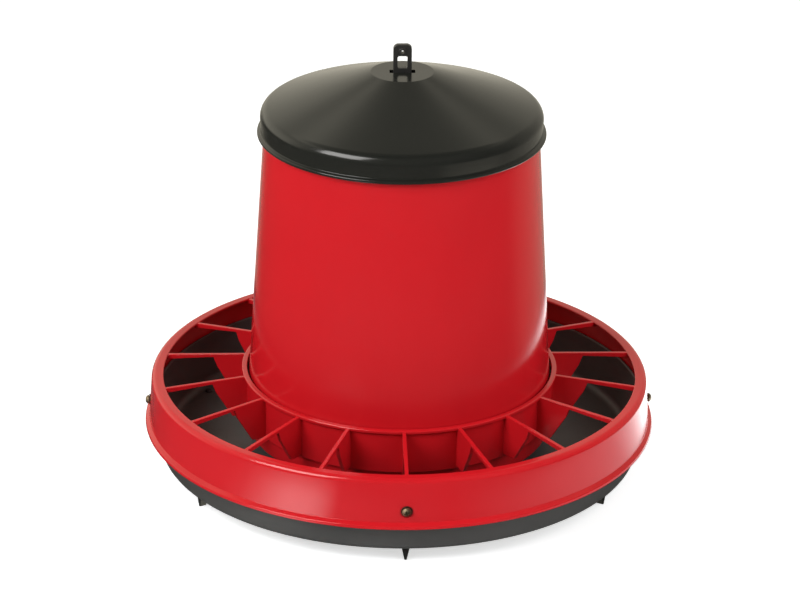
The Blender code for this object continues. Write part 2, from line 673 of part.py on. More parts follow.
def make_bridge():
    """Bar across the hopper. It sits on the height key and carries the hopper on its lugs."""
    middle = BRIDGE_BOTTOM + BRIDGE_HEIGHT / 2
    centre = (0.0, 0.0, middle)
    bar = box_mesh("hopper_bridge", (2 * bridge_half_length(), BRIDGE_WIDTH, BRIDGE_HEIGHT), centre)
    bridge = add_part("hopper_bridge", bar, black_plastic)
    slot_length = STRAP_WIDTH + 2 * STRAP_PLAY
    slot_width = STRAP_THICKNESS + 2 * STRAP_PLAY
    pad_size = (slot_length + 2 * BRIDGE_PAD_MARGIN, slot_width + 2 * BRIDGE_PAD_MARGIN, BRIDGE_HEIGHT)
    pad = box_mesh("bridge_pad", pad_size, centre)
    combine(bridge, add_helper("bridge_pad", pad), "UNION")
    slot = box_mesh("bridge_slot_cutter", (slot_length, slot_width, 2 * BRIDGE_HEIGHT), centre)
    combine(bridge, add_helper("bridge_slot_cutter", slot), "DIFFERENCE")
    for side in ("left", "right"):
        x = side_sign(side) * bridge_screw_x()
        hole_ends = (x, 0.0, BRIDGE_BOTTOM - BRIDGE_HEIGHT), (x, 0.0, BRIDGE_TOP + BRIDGE_HEIGHT)
        hole = rod_mesh("bridge_hole_" + side, BRIDGE_SCREW_RADIUS + SEAT_GAP, *hole_ends)
        combine(bridge, add_helper("bridge_hole_" + side, hole), "DIFFERENCE")


def make_bridge_screws():
    shank = BRIDGE_HEIGHT + SEAT_GAP + BRIDGE_SCREW_BITE
    profile = [
        (0.0, BRIDGE_SCREW_HEAD_HEIGHT),
        (BRIDGE_SCREW_CROWN_RADIUS, BRIDGE_SCREW_HEAD_HEIGHT),
        (BRIDGE_SCREW_HEAD_RADIUS, BRIDGE_SCREW_HEAD_EDGE),
        (BRIDGE_SCREW_HEAD_RADIUS, 0.0),
        (BRIDGE_SCREW_RADIUS, 0.0),
        (BRIDGE_SCREW_RADIUS, -shank),
        (0.0, -shank),
    ]
    mesh = turned_mesh("bridge_screw", profile, False, SMALL_STEPS)
    for side in ("left", "right"):
        screw = add_part("bridge_screw_" + side, mesh.copy(), zinc)
        screw.location = (side_sign(side) * bridge_screw_x(), 0.0, BRIDGE_TOP + SEAT_GAP)


def make_strap():
    """Flat strap from the pan's boss up through the lid, with windows for the key and for hanging."""
    half = STRAP_WIDTH / 2
    edge = rounded([
        (-half, STRAP_BOTTOM, RIM_ROUND),
        (half, STRAP_BOTTOM, RIM_ROUND),
        (half, STRAP_TOP, STRAP_CORNER_RADIUS),
        (-half, STRAP_TOP, STRAP_CORNER_RADIUS),
    ], True)
    lows = [WINDOW_START + WINDOW_PITCH * step for step in range(SETTING_COUNT)]
    lows.append(STRAP_TOP - HANG_WINDOW_DROP)
    window_half = WINDOW_WIDTH / 2
    windows = [
        rounded_rectangle(-window_half, window_half, low, low + WINDOW_HEIGHT, WINDOW_CORNER_RADIUS)
        for low in lows]
    pin_hole = circle_outline(0.0, STRAP_BOTTOM + PIN_RISE, PIN_RADIUS + SEAT_GAP)
    plate = plate_mesh("hanging_strap", [edge, pin_hole] + windows, STRAP_THICKNESS)
    strap = add_part("hanging_strap", plate, black_plastic)

    eye_height = STRAP_TOP - EYE_DROP
    ring_half = STRAP_THICKNESS / 2 + EYE_RING_PROUD
    ring_ends = (0.0, -ring_half, eye_height), (0.0, ring_half, eye_height)
    ring = rod_mesh("eye_ring", EYE_RING_RADIUS, *ring_ends)
    combine(strap, add_helper("eye_ring", ring), "UNION")
    eye_ends = (0.0, -2 * ring_half, eye_height), (0.0, 2 * ring_half, eye_height)
    eye = rod_mesh("eye_cutter", EYE_RADIUS, *eye_ends)
    combine(strap, add_helper("eye_cutter", eye), "DIFFERENCE")


def make_strap_pin():
    """Headed pin that holds the strap in the pan's boss."""
    seat = BOSS_RADIUS + SEAT_GAP
    profile = [
        (0.0, seat + PIN_HEAD_HEIGHT),
        (PIN_CROWN_RADIUS, seat + PIN_HEAD_HEIGHT),
        (PIN_HEAD_RADIUS, seat),
        (PIN_RADIUS, seat),
        (PIN_RADIUS, -seat - PIN_HEAD_HEIGHT),
        (0.0, -seat - PIN_HEAD_HEIGHT),
    ]
    pin = add_part("strap_pin", turned_mesh("strap_pin", profile, False, SMALL_STEPS), zinc)
    pin.matrix_world = outward(0.0, 0.0, STRAP_BOTTOM + PIN_RISE)


def make_height_key():
    """Flat key through a window of the strap. Pulled out to the front, it frees the bridge."""
    half_width = KEY_WIDTH / 2
    half_height = KEY_HEIGHT / 2
    outline = rounded_rectangle(-half_width, half_width, -half_height, half_height, WINDOW_CORNER_RADIUS)
    key = add_part("height_key", plate_mesh("height_key", [outline], 2 * KEY_REACH), red_plastic)
    key.location = (0.0, 0.0, KEY_TOP - half_height)
    grip_front = -KEY_REACH - KEY_GRIP_LENGTH
    grip_back = -KEY_REACH + KEY_GRIP_BITE
    grip_size = (KEY_WIDTH + 2 * KEY_GRIP_FLARE, grip_back - grip_front, KEY_GRIP_HEIGHT)
    grip = box_mesh("key_grip", grip_size, (0.0, (grip_front + grip_back) / 2, KEY_TOP - half_height))
    combine(key, add_helper("key_grip", grip), "UNION")


def make_lid():
    """Shallow conical lid with a flat disc on top, a beaded skirt and a slot for the strap."""
    eave_height = HOPPER_TOP + LID_EAVE_RISE
    roof_fall = (LID_TOP - eave_height) / (LID_EAVE_RADIUS - LID_DISC_RADIUS)
    skirt_inner = hopper_radius(LID_BOTTOM) + LID_SKIRT_GAP
    skirt_outer = skirt_inner + LID_WALL
    bead_top = LID_BOTTOM + LID_BEAD_HEIGHT
    seat_inner = LID_EAVE_RADIUS - LID_WALL - LID_SEAT_WIDTH
    seat_outer = LID_EAVE_RADIUS - LID_WALL
    roof_inside = LID_TOP - LID_WALL - roof_fall * (seat_inner - LID_DISC_RADIUS)
    profile = [
        (0.0, LID_TOP),
        (LID_DISC_RADIUS, LID_TOP, LID_DISC_ROUND),
        (LID_EAVE_RADIUS, eave_height, LID_EAVE_ROUND),
        (skirt_outer, bead_top),
        (skirt_outer + LID_BEAD_PROUD, bead_top - LID_BEAD_SLOPE, SOFT_ROUND),
        (skirt_outer + LID_BEAD_PROUD, LID_BOTTOM, RIM_ROUND),
        (skirt_inner, LID_BOTTOM, SOFT_ROUND),
        (seat_outer, LID_SEAT),
        (seat_inner, LID_SEAT),
        (seat_inner, roof_inside),
        (LID_DISC_RADIUS, LID_TOP - LID_WALL),
        (0.0, LID_TOP - LID_WALL),
    ]
    lid = add_part("lid", turned_mesh("lid", profile, False), black_plastic)
    slot_length = STRAP_WIDTH + 2 * LID_SLOT_PLAY_X
    slot_width = STRAP_THICKNESS + 2 * LID_SLOT_PLAY_Y
    slot = box_mesh("lid_slot_cutter", (slot_length, slot_width, 4 * LID_WALL), (0.0, 0.0, LID_TOP))
    combine(lid, add_helper("lid_slot_cutter", slot), "DIFFERENCE")


clear_scene()
parts = make_collection("poultry_feeder")
helpers = make_collection("cutters")

red_plastic = make_material("red_plastic", (0.62, 0.012, 0.02), 0.28)
black_plastic = make_material("black_plastic", (0.018, 0.019, 0.017), 0.22)
pan_plastic = make_material("pan_plastic", (0.06, 0.06, 0.062), 0.45)
zinc = make_material("zinc", (0.62, 0.56, 0.42), 0.35, 1.0)
dark_steel = make_material("dark_steel", (0.10, 0.075, 0.06), 0.5, 1.0)

screw_hole_cutters = make_screw_hole_cutters()
make_pan()
make_feet()
make_grille()
make_grille_fixings()
make_hopper()
make_bridge()
make_bridge_screws()
make_strap()
make_strap_pin()
make_height_key()
make_lid()
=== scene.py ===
from math import atan2, ceil, cos, degrees, pi, radians, sin, tan

import bmesh
import bpy
from mathutils import Matrix, Vector


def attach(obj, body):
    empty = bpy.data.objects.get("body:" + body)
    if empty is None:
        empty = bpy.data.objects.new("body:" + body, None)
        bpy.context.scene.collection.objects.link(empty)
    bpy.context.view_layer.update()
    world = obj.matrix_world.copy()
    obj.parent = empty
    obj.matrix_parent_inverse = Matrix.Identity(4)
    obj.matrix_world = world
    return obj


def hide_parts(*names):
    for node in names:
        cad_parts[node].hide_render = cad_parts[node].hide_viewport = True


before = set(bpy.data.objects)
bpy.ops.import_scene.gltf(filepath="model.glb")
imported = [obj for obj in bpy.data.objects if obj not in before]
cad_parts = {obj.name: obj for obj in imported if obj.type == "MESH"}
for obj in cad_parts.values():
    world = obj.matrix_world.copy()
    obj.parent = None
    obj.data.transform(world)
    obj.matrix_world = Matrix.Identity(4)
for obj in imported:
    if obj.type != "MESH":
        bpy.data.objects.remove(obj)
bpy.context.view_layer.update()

# Lengths in the pieces' dictionaries are millimetres, angles are degrees.
mm = 0.001
seatGap = 0.3            # between faces that rest on or fit into each other
arcStep = radians(11)    # one facet of a rounding
ringSteps = 288          # facets round a large turned piece
smallSteps = 48          # facets round a screw, foot or pin
ridgeSteps = 16          # facets round the fine ridges of a grip
edgeSteps = 2            # steps over a plate's rounded edge
weldDistance = 1e-6

moulded = bpy.data.collections.new("moulded_pieces")
fasteners = bpy.data.collections.new("fasteners")
studio = bpy.data.collections.new("studio")
for collection in (moulded, fasteners, studio):
    bpy.context.scene.collection.children.link(collection)


def evenTurns(count):
    return [2 * pi * i / count for i in range(count)]


def softened(corners, closed=True):
    # corners are (x, y) or (x, y, rounding); the ends of an open line stay sharp
    points = []
    count = len(corners)
    for i, corner in enumerate(corners):
        here = Vector(corner[:2])
        radius = corner[2] if len(corner) > 2 else 0
        if not radius or (not closed and i in (0, count - 1)):
            points.append(here)
            continue
        back = (Vector(corners[i - 1][:2]) - here).normalized()
        ahead = (Vector(corners[(i + 1) % count][:2]) - here).normalized()
        half = back.angle(ahead) / 2
        centre = here + (back + ahead).normalized() * radius / sin(half)
        arm = here + back * radius / tan(half) - centre
        turn = pi - 2 * half
        if arm.cross(here + ahead * radius / tan(half) - centre) < 0:
            turn = -turn
        across = Vector((-arm.y, arm.x))
        facets = max(2, ceil(abs(turn) / arcStep))
        for k in range(facets + 1):
            points.append(centre + arm * cos(turn * k / facets) + across * sin(turn * k / facets))
    return points


def pieceFrom(bm, name, collection=moulded):
    bmesh.ops.remove_doubles(bm, verts=bm.verts, dist=weldDistance)
    bmesh.ops.recalc_face_normals(bm, faces=bm.faces)
    mesh = bpy.data.meshes.new(name)
    bm.to_mesh(mesh)
    bm.free()
    piece = bpy.data.objects.new(name, mesh)
    collection.objects.link(piece)
    return piece


def turned(name, corners, closed=True, steps=ringSteps, place=None, collection=moulded):
    # spins a profile of (radius, height) corners; an open profile starts and ends on the axis
    bm = bmesh.new()
    rings = []
    for point in softened(corners, closed):
        radius, height = point * mm
        if radius < weldDistance:
            rings.append([bm.verts.new((0, 0, height))])
        else:
            rings.append([bm.verts.new((radius * cos(t), radius * sin(t), height)) for t in evenTurns(steps)])
    following = rings[1:] + (rings[:1] if closed else [])
    for one, other in zip(rings, following):
        for i in range(steps):
            loop = [one[i % len(one)], one[(i + 1) % steps % len(one)],
                    other[(i + 1) % steps % len(other)], other[i % len(other)]]
            bm.faces.new(list(dict.fromkeys(loop)))
    if place:
        bm.transform(place)
    return pieceFrom(bm, name, collection)


def plate(name, outlines, thickness, edge, place=None, collection=moulded):
    # a plate in XY, centred on Z, with rounded edges; the outlines after the first are holes
    curve = bpy.data.curves.new(name, "CURVE")
    curve.dimensions = "2D"
    curve.fill_mode = "BOTH"
    curve.bevel_depth = edge * mm
    curve.bevel_resolution = edgeSteps
    curve.offset = -edge * mm
    curve.extrude = (thickness / 2 - edge) * mm
    for outline in outlines:
        spline = curve.splines.new("POLY")
        spline.points.add(len(outline) - 1)
        spline.use_cyclic_u = True
        for spot, point in zip(spline.points, outline):
            spot.co = (point[0] * mm, point[1] * mm, 0, 1)
    source = bpy.data.objects.new(name, curve)
    collection.objects.link(source)
    return settled(source, name, place)


def settled(source, name, place=None):
    # the object with its modifiers applied, as a plain mesh with its seams welded
    bpy.context.view_layer.update()
    graph = bpy.context.evaluated_depsgraph_get()
    mesh = bpy.data.meshes.new_from_object(source.evaluated_get(graph))
    collection = source.users_collection[0]
    bpy.data.objects.remove(source, do_unlink=True)
    bm = bmesh.new()
    bm.from_mesh(mesh)
    bpy.data.meshes.remove(mesh)
    if place:
        bm.transform(place)
    return pieceFrom(bm, name, collection)


def block(name, low, high, edge=0.0, place=None, facets=3):
    low, high = Vector(low), Vector(high)
    bm = bmesh.new()
    bmesh.ops.create_cube(bm, size=1, matrix=Matrix.Translation((low + high) / 2 * mm)
                          @ Matrix.Diagonal((*((high - low) * mm), 1)))
    if edge:
        bmesh.ops.bevel(bm, geom=bm.edges[:], offset=edge * mm, segments=facets, profile=0.5, affect="EDGES")
    if place:
        bm.transform(place)
    return pieceFrom(bm, name)


def lofted(name, levels):
    # a solid through level outlines with the same number of points, each given with its height
    bm = bmesh.new()
    rings = [[bm.verts.new((x * mm, y * mm, height * mm)) for x, y in outline] for outline, height in levels]
    bm.faces.new(rings[0])
    bm.faces.new(rings[-1])
    for one, other in zip(rings, rings[1:]):
        for i in range(len(one)):
            bm.faces.new((one[i - 1], one[i], other[i], other[i - 1]))
    return pieceFrom(bm, name)


def gathered(name, pieces):
    # several pieces as one mesh
    bm = bmesh.new()
    for piece in pieces:
        bm.from_mesh(piece.data)
        bpy.data.objects.remove(piece, do_unlink=True)
    return pieceFrom(bm, name)


def merged(piece, *others, how="UNION"):
    for other in others:
        modifier = piece.modifiers.new(other.name, "BOOLEAN")
        modifier.operation = how
        modifier.solver = "EXACT"
        modifier.object = other
    result = settled(piece, piece.name)
    for other in others:
        bpy.data.objects.remove(other, do_unlink=True)
    return result


def carved(piece, *others):
    return merged(piece, *others, how="DIFFERENCE")


def drill(radius, low, high, place):
    # a cylinder along its own Z, for holes and flats
    return turned("drill", [(0, high), (radius, high), (radius, low), (0, low)], False, smallSteps, place)


def repeated(piece, name, place):
    copy = bpy.data.objects.new(name, piece.data.copy())
    piece.users_collection[0].objects.link(copy)
    copy.data.transform(place)
    return copy


upright = Matrix.Rotation(pi / 2, 4, "X")     # what is drawn in XY stands up in XZ


def spun(turn):
    return Matrix.Rotation(turn, 4, "Z")


def shifted(x=0.0, y=0.0, height=0.0):
    return Matrix.Translation((x * mm, y * mm, height * mm))


def outward(turn, radius=0.0, height=0.0):
    # a piece built up along +Z is laid down to point away from the axis; turn 0 is the front
    return spun(turn) @ shifted(0, -radius, height) @ upright


def roundRectangle(x0, x1, y0, y1, radius):
    return softened([(x0, y0, radius), (x1, y0, radius), (x1, y1, radius), (x0, y1, radius)])


def circle(x, y, radius, steps=smallSteps):
    return [(x + radius * cos(t), y + radius * sin(t)) for t in evenTurns(steps)]


def mounted(piece, body, material, slotName, *nodes, sharpFrom=32):
    # shading, material, and the body and CAD nodes that the piece belongs to
    piece.data.materials.clear()
    piece.data.materials.append(material)
    piece.data.shade_smooth()
    piece.data.set_sharp_from_angle(angle=radians(sharpFrom))
    normals = piece.modifiers.new("Weighted normals", "WEIGHTED_NORMAL")
    normals.keep_sharp = True
    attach(piece, body)
    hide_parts(*nodes)
    return piece


def addSocket(group, name, kind, way, value=None):
    socket = group.interface.new_socket(name=name, in_out=way, socket_type=kind)
    if value is not None:
        socket.default_value = value


def addNode(tree, kind, **settings):
    node = tree.nodes.new(kind)
    for key, value in settings.items():
        if key in node.inputs:
            node.inputs[key].default_value = value
        else:
            setattr(node, key, value)
    return node


def mathNode(tree, operation, first, second):
    node = addNode(tree, "ShaderNodeMath", operation=operation)
    for socket, value in zip(node.inputs, (first, second)):
        if isinstance(value, (int, float)):
            socket.default_value = value
        else:
            tree.links.new(value, socket)
    return node.outputs[0]


def mapped(tree, value, low, high, **span):
    # a value from low to high as a value from 0 to 1, or over the given span
    node = addNode(tree, "ShaderNodeMapRange", **{"From Min": low, "From Max": high}, **span)
    tree.links.new(value, node.inputs["Value"])
    return node


def makeMouldedSkin():
    # colour drift of a moulded plastic, gloss that wanders a little, and a fine skin
    group = bpy.data.node_groups.new("moulded_skin", "ShaderNodeTree")
    for name, value in (("Pale", (0.8, 0.8, 0.8, 1)), ("Deep", (0.6, 0.6, 0.6, 1))):
        addSocket(group, name, "NodeSocketColor", "INPUT", value)
    for name, value in (("Drift Scale", 9.0), ("Gloss Low", 0.2), ("Gloss High", 0.3), ("Skin Scale", 900.0),
                        ("Wave Scale", 22.0), ("Wave Share", 0.5)):
        addSocket(group, name, "NodeSocketFloat", "INPUT", value)
    addSocket(group, "Color", "NodeSocketColor", "OUTPUT")
    addSocket(group, "Roughness", "NodeSocketFloat", "OUTPUT")
    addSocket(group, "Height", "NodeSocketFloat", "OUTPUT")
    given = group.nodes.new("NodeGroupInput")
    result = group.nodes.new("NodeGroupOutput")
    place = group.nodes.new("ShaderNodeTexCoord").outputs["Object"]

    drift = addNode(group, "ShaderNodeTexNoise", Detail=4.0, Roughness=0.55, Distortion=0.6)
    group.links.new(place, drift.inputs["Vector"])
    group.links.new(given.outputs["Drift Scale"], drift.inputs["Scale"])
    spread = mapped(group, drift.outputs["Fac"], 0.3, 0.7)
    colour = addNode(group, "ShaderNodeMix", data_type="RGBA")
    group.links.new(spread.outputs["Result"], colour.inputs["Factor"])
    group.links.new(given.outputs["Deep"], colour.inputs["A"])
    group.links.new(given.outputs["Pale"], colour.inputs["B"])
    group.links.new(colour.outputs["Result"], result.inputs["Color"])

    smudge = addNode(group, "ShaderNodeTexNoise", Detail=5.0, Roughness=0.6)
    group.links.new(place, smudge.inputs["Vector"])
    group.links.new(mathNode(group, "MULTIPLY", given.outputs["Drift Scale"], 2.3), smudge.inputs["Scale"])
    gloss = mapped(group, smudge.outputs["Fac"], 0.32, 0.68)
    group.links.new(given.outputs["Gloss Low"], gloss.inputs["To Min"])
    group.links.new(given.outputs["Gloss High"], gloss.inputs["To Max"])
    group.links.new(gloss.outputs["Result"], result.inputs["Roughness"])

    skin = addNode(group, "ShaderNodeTexNoise", Detail=2.0, Roughness=0.5)
    group.links.new(place, skin.inputs["Vector"])
    group.links.new(given.outputs["Skin Scale"], skin.inputs["Scale"])
    wave = addNode(group, "ShaderNodeTexNoise", Detail=1.0, Roughness=0.4)
    group.links.new(place, wave.inputs["Vector"])
    group.links.new(given.outputs["Wave Scale"], wave.inputs["Scale"])
    height = addNode(group, "ShaderNodeMix", data_type="FLOAT")
    group.links.new(given.outputs["Wave Share"], height.inputs["Factor"])
    group.links.new(skin.outputs["Fac"], height.inputs["A"])
    group.links.new(wave.outputs["Fac"], height.inputs["B"])
    group.links.new(height.outputs["Result"], result.inputs["Height"])
    return group


def makeScuffs():
    # short fine scratches in two directions, as a mask
    group = bpy.data.node_groups.new("scuffs", "ShaderNodeTree")
    addSocket(group, "Scale", "NodeSocketFloat", "INPUT", 60.0)
    addSocket(group, "Amount", "NodeSocketFloat", "INPUT", 0.5)
    addSocket(group, "Mask", "NodeSocketFloat", "OUTPUT")
    given = group.nodes.new("NodeGroupInput")
    result = group.nodes.new("NodeGroupOutput")
    place = group.nodes.new("ShaderNodeTexCoord").outputs["Object"]
    marks = []
    for tilt, stretch in ((35, (1, 22, 6)), (-50, (24, 1, 9))):
        turnedPlace = addNode(group, "ShaderNodeMapping", Rotation=(0, 0, radians(tilt)), Scale=stretch)
        group.links.new(place, turnedPlace.inputs["Vector"])
        scratch = addNode(group, "ShaderNodeTexNoise", Detail=1.0)
        group.links.new(turnedPlace.outputs["Vector"], scratch.inputs["Vector"])
        group.links.new(given.outputs["Scale"], scratch.inputs["Scale"])
        marks.append(mapped(group, scratch.outputs["Fac"], 0.66, 0.74).outputs["Result"])
    both = mathNode(group, "MAXIMUM", marks[0], marks[1])
    group.links.new(mathNode(group, "MULTIPLY", both, given.outputs["Amount"]), result.inputs["Mask"])
    return group


mouldedSkin = makeMouldedSkin()
scuffs = makeScuffs()


def placedGroup(tree, group, values):
    node = addNode(tree, "ShaderNodeGroup", node_tree=group)
    for name, value in values.items():
        node.inputs[name].default_value = value
    return node


def plasticMaterial(name, look):
    material = bpy.data.materials.new(name)
    material.use_nodes = True
    tree = material.node_tree
    shader = tree.nodes["Principled BSDF"]
    shader.inputs["IOR"].default_value = look["ior"]
    shader.inputs["Specular IOR Level"].default_value = look["shine"]
    skin = placedGroup(tree, mouldedSkin, {
        "Pale": (*look["pale"], 1), "Deep": (*look["deep"], 1), "Drift Scale": look["driftScale"],
        "Gloss Low": look["gloss"][0], "Gloss High": look["gloss"][1], "Skin Scale": look["skinScale"],
        "Wave Scale": look["waveScale"], "Wave Share": look["waveShare"],
    })
    marks = placedGroup(tree, scuffs, {"Scale": look["scuffScale"], "Amount": look["scuffAmount"]})
    dulled = mathNode(tree, "ADD", skin.outputs["Roughness"], marks.outputs["Mask"])
    bump = addNode(tree, "ShaderNodeBump", Distance=look["bumpDepth"] * mm, Strength=look["bumpStrength"])
    tree.links.new(skin.outputs["Color"], shader.inputs["Base Color"])
    tree.links.new(dulled, shader.inputs["Roughness"])
    tree.links.new(skin.outputs["Height"], bump.inputs["Height"])
    tree.links.new(bump.outputs["Normal"], shader.inputs["Normal"])
    return material


def metalMaterial(name, look):
    material = plasticMaterial(name, look)
    material.node_tree.nodes["Principled BSDF"].inputs["Metallic"].default_value = look["metallic"]
    return material


redLook = {
    "pale": (0.63, 0.0115, 0.018), "deep": (0.57, 0.0095, 0.016), "driftScale": 5.0,
    "gloss": (0.12, 0.17), "ior": 1.49, "shine": 0.5,
    "skinScale": 700.0, "waveScale": 26.0, "waveShare": 0.8, "bumpDepth": 0.05, "bumpStrength": 0.35,
    "scuffScale": 30.0, "scuffAmount": 0.05,
}
lidLook = {
    "pale": (0.0155, 0.0165, 0.0145), "deep": (0.011, 0.012, 0.0105), "driftScale": 7.0,
    "gloss": (0.14, 0.20), "ior": 1.5, "shine": 0.5,
    "skinScale": 600.0, "waveScale": 18.0, "waveShare": 0.8, "bumpDepth": 0.05, "bumpStrength": 0.3,
    "scuffScale": 34.0, "scuffAmount": 0.02,
}
strapLook = {
    "pale": (0.030, 0.029, 0.028), "deep": (0.018, 0.018, 0.018), "driftScale": 24.0,
    "gloss": (0.30, 0.42), "ior": 1.5, "shine": 0.5,
    "skinScale": 1500.0, "waveScale": 90.0, "waveShare": 0.4, "bumpDepth": 0.04, "bumpStrength": 0.4,
    "scuffScale": 90.0, "scuffAmount": 0.10,
}
panLook = {
    "pale": (0.098, 0.099, 0.097), "deep": (0.070, 0.071, 0.070), "driftScale": 6.0,
    "gloss": (0.34, 0.46), "ior": 1.5, "shine": 0.5,
    "skinScale": 650.0, "waveScale": 20.0, "waveShare": 0.7, "bumpDepth": 0.06, "bumpStrength": 0.35,
    "scuffScale": 26.0, "scuffAmount": 0.08,
}
zincLook = {
    "pale": (0.44, 0.36, 0.24), "deep": (0.26, 0.20, 0.12), "driftScale": 260.0,
    "gloss": (0.50, 0.66), "ior": 1.5, "shine": 0.5, "metallic": 1.0,
    "skinScale": 3500.0, "waveScale": 500.0, "waveShare": 0.4, "bumpDepth": 0.02, "bumpStrength": 0.4,
    "scuffScale": 300.0, "scuffAmount": 0.12,
}
darkSteelLook = {
    "pale": (0.13, 0.085, 0.055), "deep": (0.06, 0.040, 0.030), "driftScale": 330.0,
    "gloss": (0.42, 0.62), "ior": 1.5, "shine": 0.5, "metallic": 0.85,
    "skinScale": 3500.0, "waveScale": 600.0, "waveShare": 0.5, "bumpDepth": 0.03, "bumpStrength": 0.5,
    "scuffScale": 300.0, "scuffAmount": 0.12,
}
redPlastic = plasticMaterial("red_plastic_skin", redLook)
lidPlastic = plasticMaterial("lid_black_skin", lidLook)
strapPlastic = plasticMaterial("strap_black_skin", strapLook)
panPlastic = plasticMaterial("pan_grey_skin", panLook)
zincPlate = metalMaterial("zinc_plate", zincLook)
darkSteel = metalMaterial("dark_steel", darkSteelLook)
print("finishes made")


pan = {
    "rimRadius": 204.1, "rimTop": 56.0, "underside": 12.5, "wall": 2.5, "uprightHeight": 10.0,
    "wallLean": 6.1, "outerCorner": 6.0, "innerCorner": 8.0, "underCorner": 10.0, "wallBend": 20.0,
    "coneRadius": 112.0, "coneTop": 80.0, "coneFoot": 14.0, "underTop": 2.0,
    "bossRadius": 13.0, "bossTop": 100.0, "bossFloor": 3.0, "bossFoot": 3.0, "edge": 1.2,
    "pinRise": 8.0, "drillPast": 20.0,
}
# the pan's holes need the sizes of the strap, the feet and the screws
strap = {
    "width": 14.8, "thickness": 5.0, "edge": 0.6, "bottom": 83.3, "top": 363.0, "corner": 4.0, "footCorner": 0.8,
    "windowWidth": 8.0, "windowHeight": 10.0, "windowCorner": 1.6, "windowLows": (233.7, 248.7, 263.7, 343.4),
    "eyeDrop": 5.8, "eyeRadius": 1.4, "drillPast": 9.0, "ringRadius": 3.4, "ringProud": 0.6, "ringEdge": 0.5,
    "pinRadius": 2.0,
}
feet = {
    "count": 6, "circle": 186.0, "height": 12.5, "topWidth": 7.0, "topLength": 8.0, "tipWidth": 2.0,
    "tipLength": 6.0, "shift": 1.0, "corner": 0.7, "edge": 0.3, "edgePart": 0.3,
    "stemRadius": 2.2, "stemBite": 3.0, "holeTop": 30.0,
    "headRadius": 3.2, "headHeight": 1.8, "headTaper": 1.2, "headTopEdge": 0.5, "headFootEdge": 0.2,
}
screws = {
    "count": 4, "height": 51.5, "radius": 2.0, "pitch": 0.7, "plainLength": 1.0, "turn": 17,
    "headRadius": 3.6, "headHeight": 2.8, "crownRadius": 2.0, "crownRound": 1.4,
    "brimHeight": 1.1, "brimRound": 0.8, "footEdge": 0.15, "crossSpan": 3.9, "crossWidth": 0.9, "crossDepth": 1.5,
    "holeGap": 0.3, "drillOut": 20.0, "drillIn": 12.0,
    "spotFaceRadius": 5.4, "spotFaceDepth": 0.3, "spotFaceOut": 6.0, "endProud": 1.4,
}


def buildPan():
    floor = pan["underside"] + pan["wall"]
    uprightFoot = pan["rimTop"] - pan["uprightHeight"]
    footRadius = pan["rimRadius"] - pan["wallLean"]
    innerFoot = footRadius - pan["wall"] + pan["wallLean"] * pan["wall"] / (uprightFoot - pan["underside"])
    coneRise = pan["coneTop"] - floor
    coneRun = pan["coneRadius"] - pan["bossRadius"]
    drop = pan["wall"] / cos(atan2(coneRise, coneRun))
    underRadius = pan["coneRadius"] - (drop - pan["wall"]) * coneRun / coneRise
    innerRim = pan["rimRadius"] - pan["wall"]
    profile = [
        (0, pan["bossTop"]),
        (pan["bossRadius"], pan["bossTop"], pan["edge"]),
        (pan["bossRadius"], pan["coneTop"], pan["bossFoot"]),
        (pan["coneRadius"], floor, pan["coneFoot"]),
        (innerFoot, floor, pan["innerCorner"]),
        (innerRim, uprightFoot, pan["wallBend"]),
        (innerRim, pan["rimTop"], pan["edge"]),
        (pan["rimRadius"], pan["rimTop"], pan["edge"]),
        (pan["rimRadius"], uprightFoot, pan["wallBend"]),
        (footRadius, pan["underside"], pan["outerCorner"]),
        (underRadius, pan["underside"], pan["underCorner"]),
        (pan["bossRadius"], pan["coneTop"] - drop, pan["underTop"]),
        (0, pan["coneTop"] - drop),
    ]
    body = turned("feed_pan_moulding", profile, closed=False)
    halfX = strap["width"] / 2 + seatGap
    halfY = strap["thickness"] / 2 + seatGap
    past = pan["drillPast"]
    socket = block("strap_socket", (-halfX, -halfY, pan["coneTop"] + pan["bossFloor"]),
                   (halfX, halfY, pan["bossTop"] + past))
    pinHole = drill(strap["pinRadius"] + seatGap, -past, past, outward(0, 0, strap["bottom"] + pan["pinRise"]))
    footHoles = [drill(feet["stemRadius"] + seatGap, 0, feet["holeTop"], spun(t) @ shifted(0, -feet["circle"]))
                 for t in evenTurns(feet["count"])]
    return carved(body, gathered("pan_holes", [socket, pinHole] + footHoles + screwHoles()))


def screwHoles():
    return [drill(screws["radius"] + screws["holeGap"], -screws["drillIn"], screws["drillOut"],
                  outward(t, pan["rimRadius"], screws["height"]))
            for t in evenTurns(screws["count"])]


mounted(buildPan(), "base", panPlastic, "pan_plastic", "feed_pan")
print("feed pan made")


def footLevel(height, inset=0.0):
    # outline of the blade at a height, drawn in a little
    share = height / feet["height"]
    halfWide = (feet["tipWidth"] + share * (feet["topWidth"] - feet["tipWidth"])) / 2 - inset
    halfLong = (feet["tipLength"] + share * (feet["topLength"] - feet["tipLength"])) / 2 - inset
    middle = -feet["shift"]
    return roundRectangle(-halfWide, halfWide, middle - halfLong, middle + halfLong, feet["corner"] - inset), height


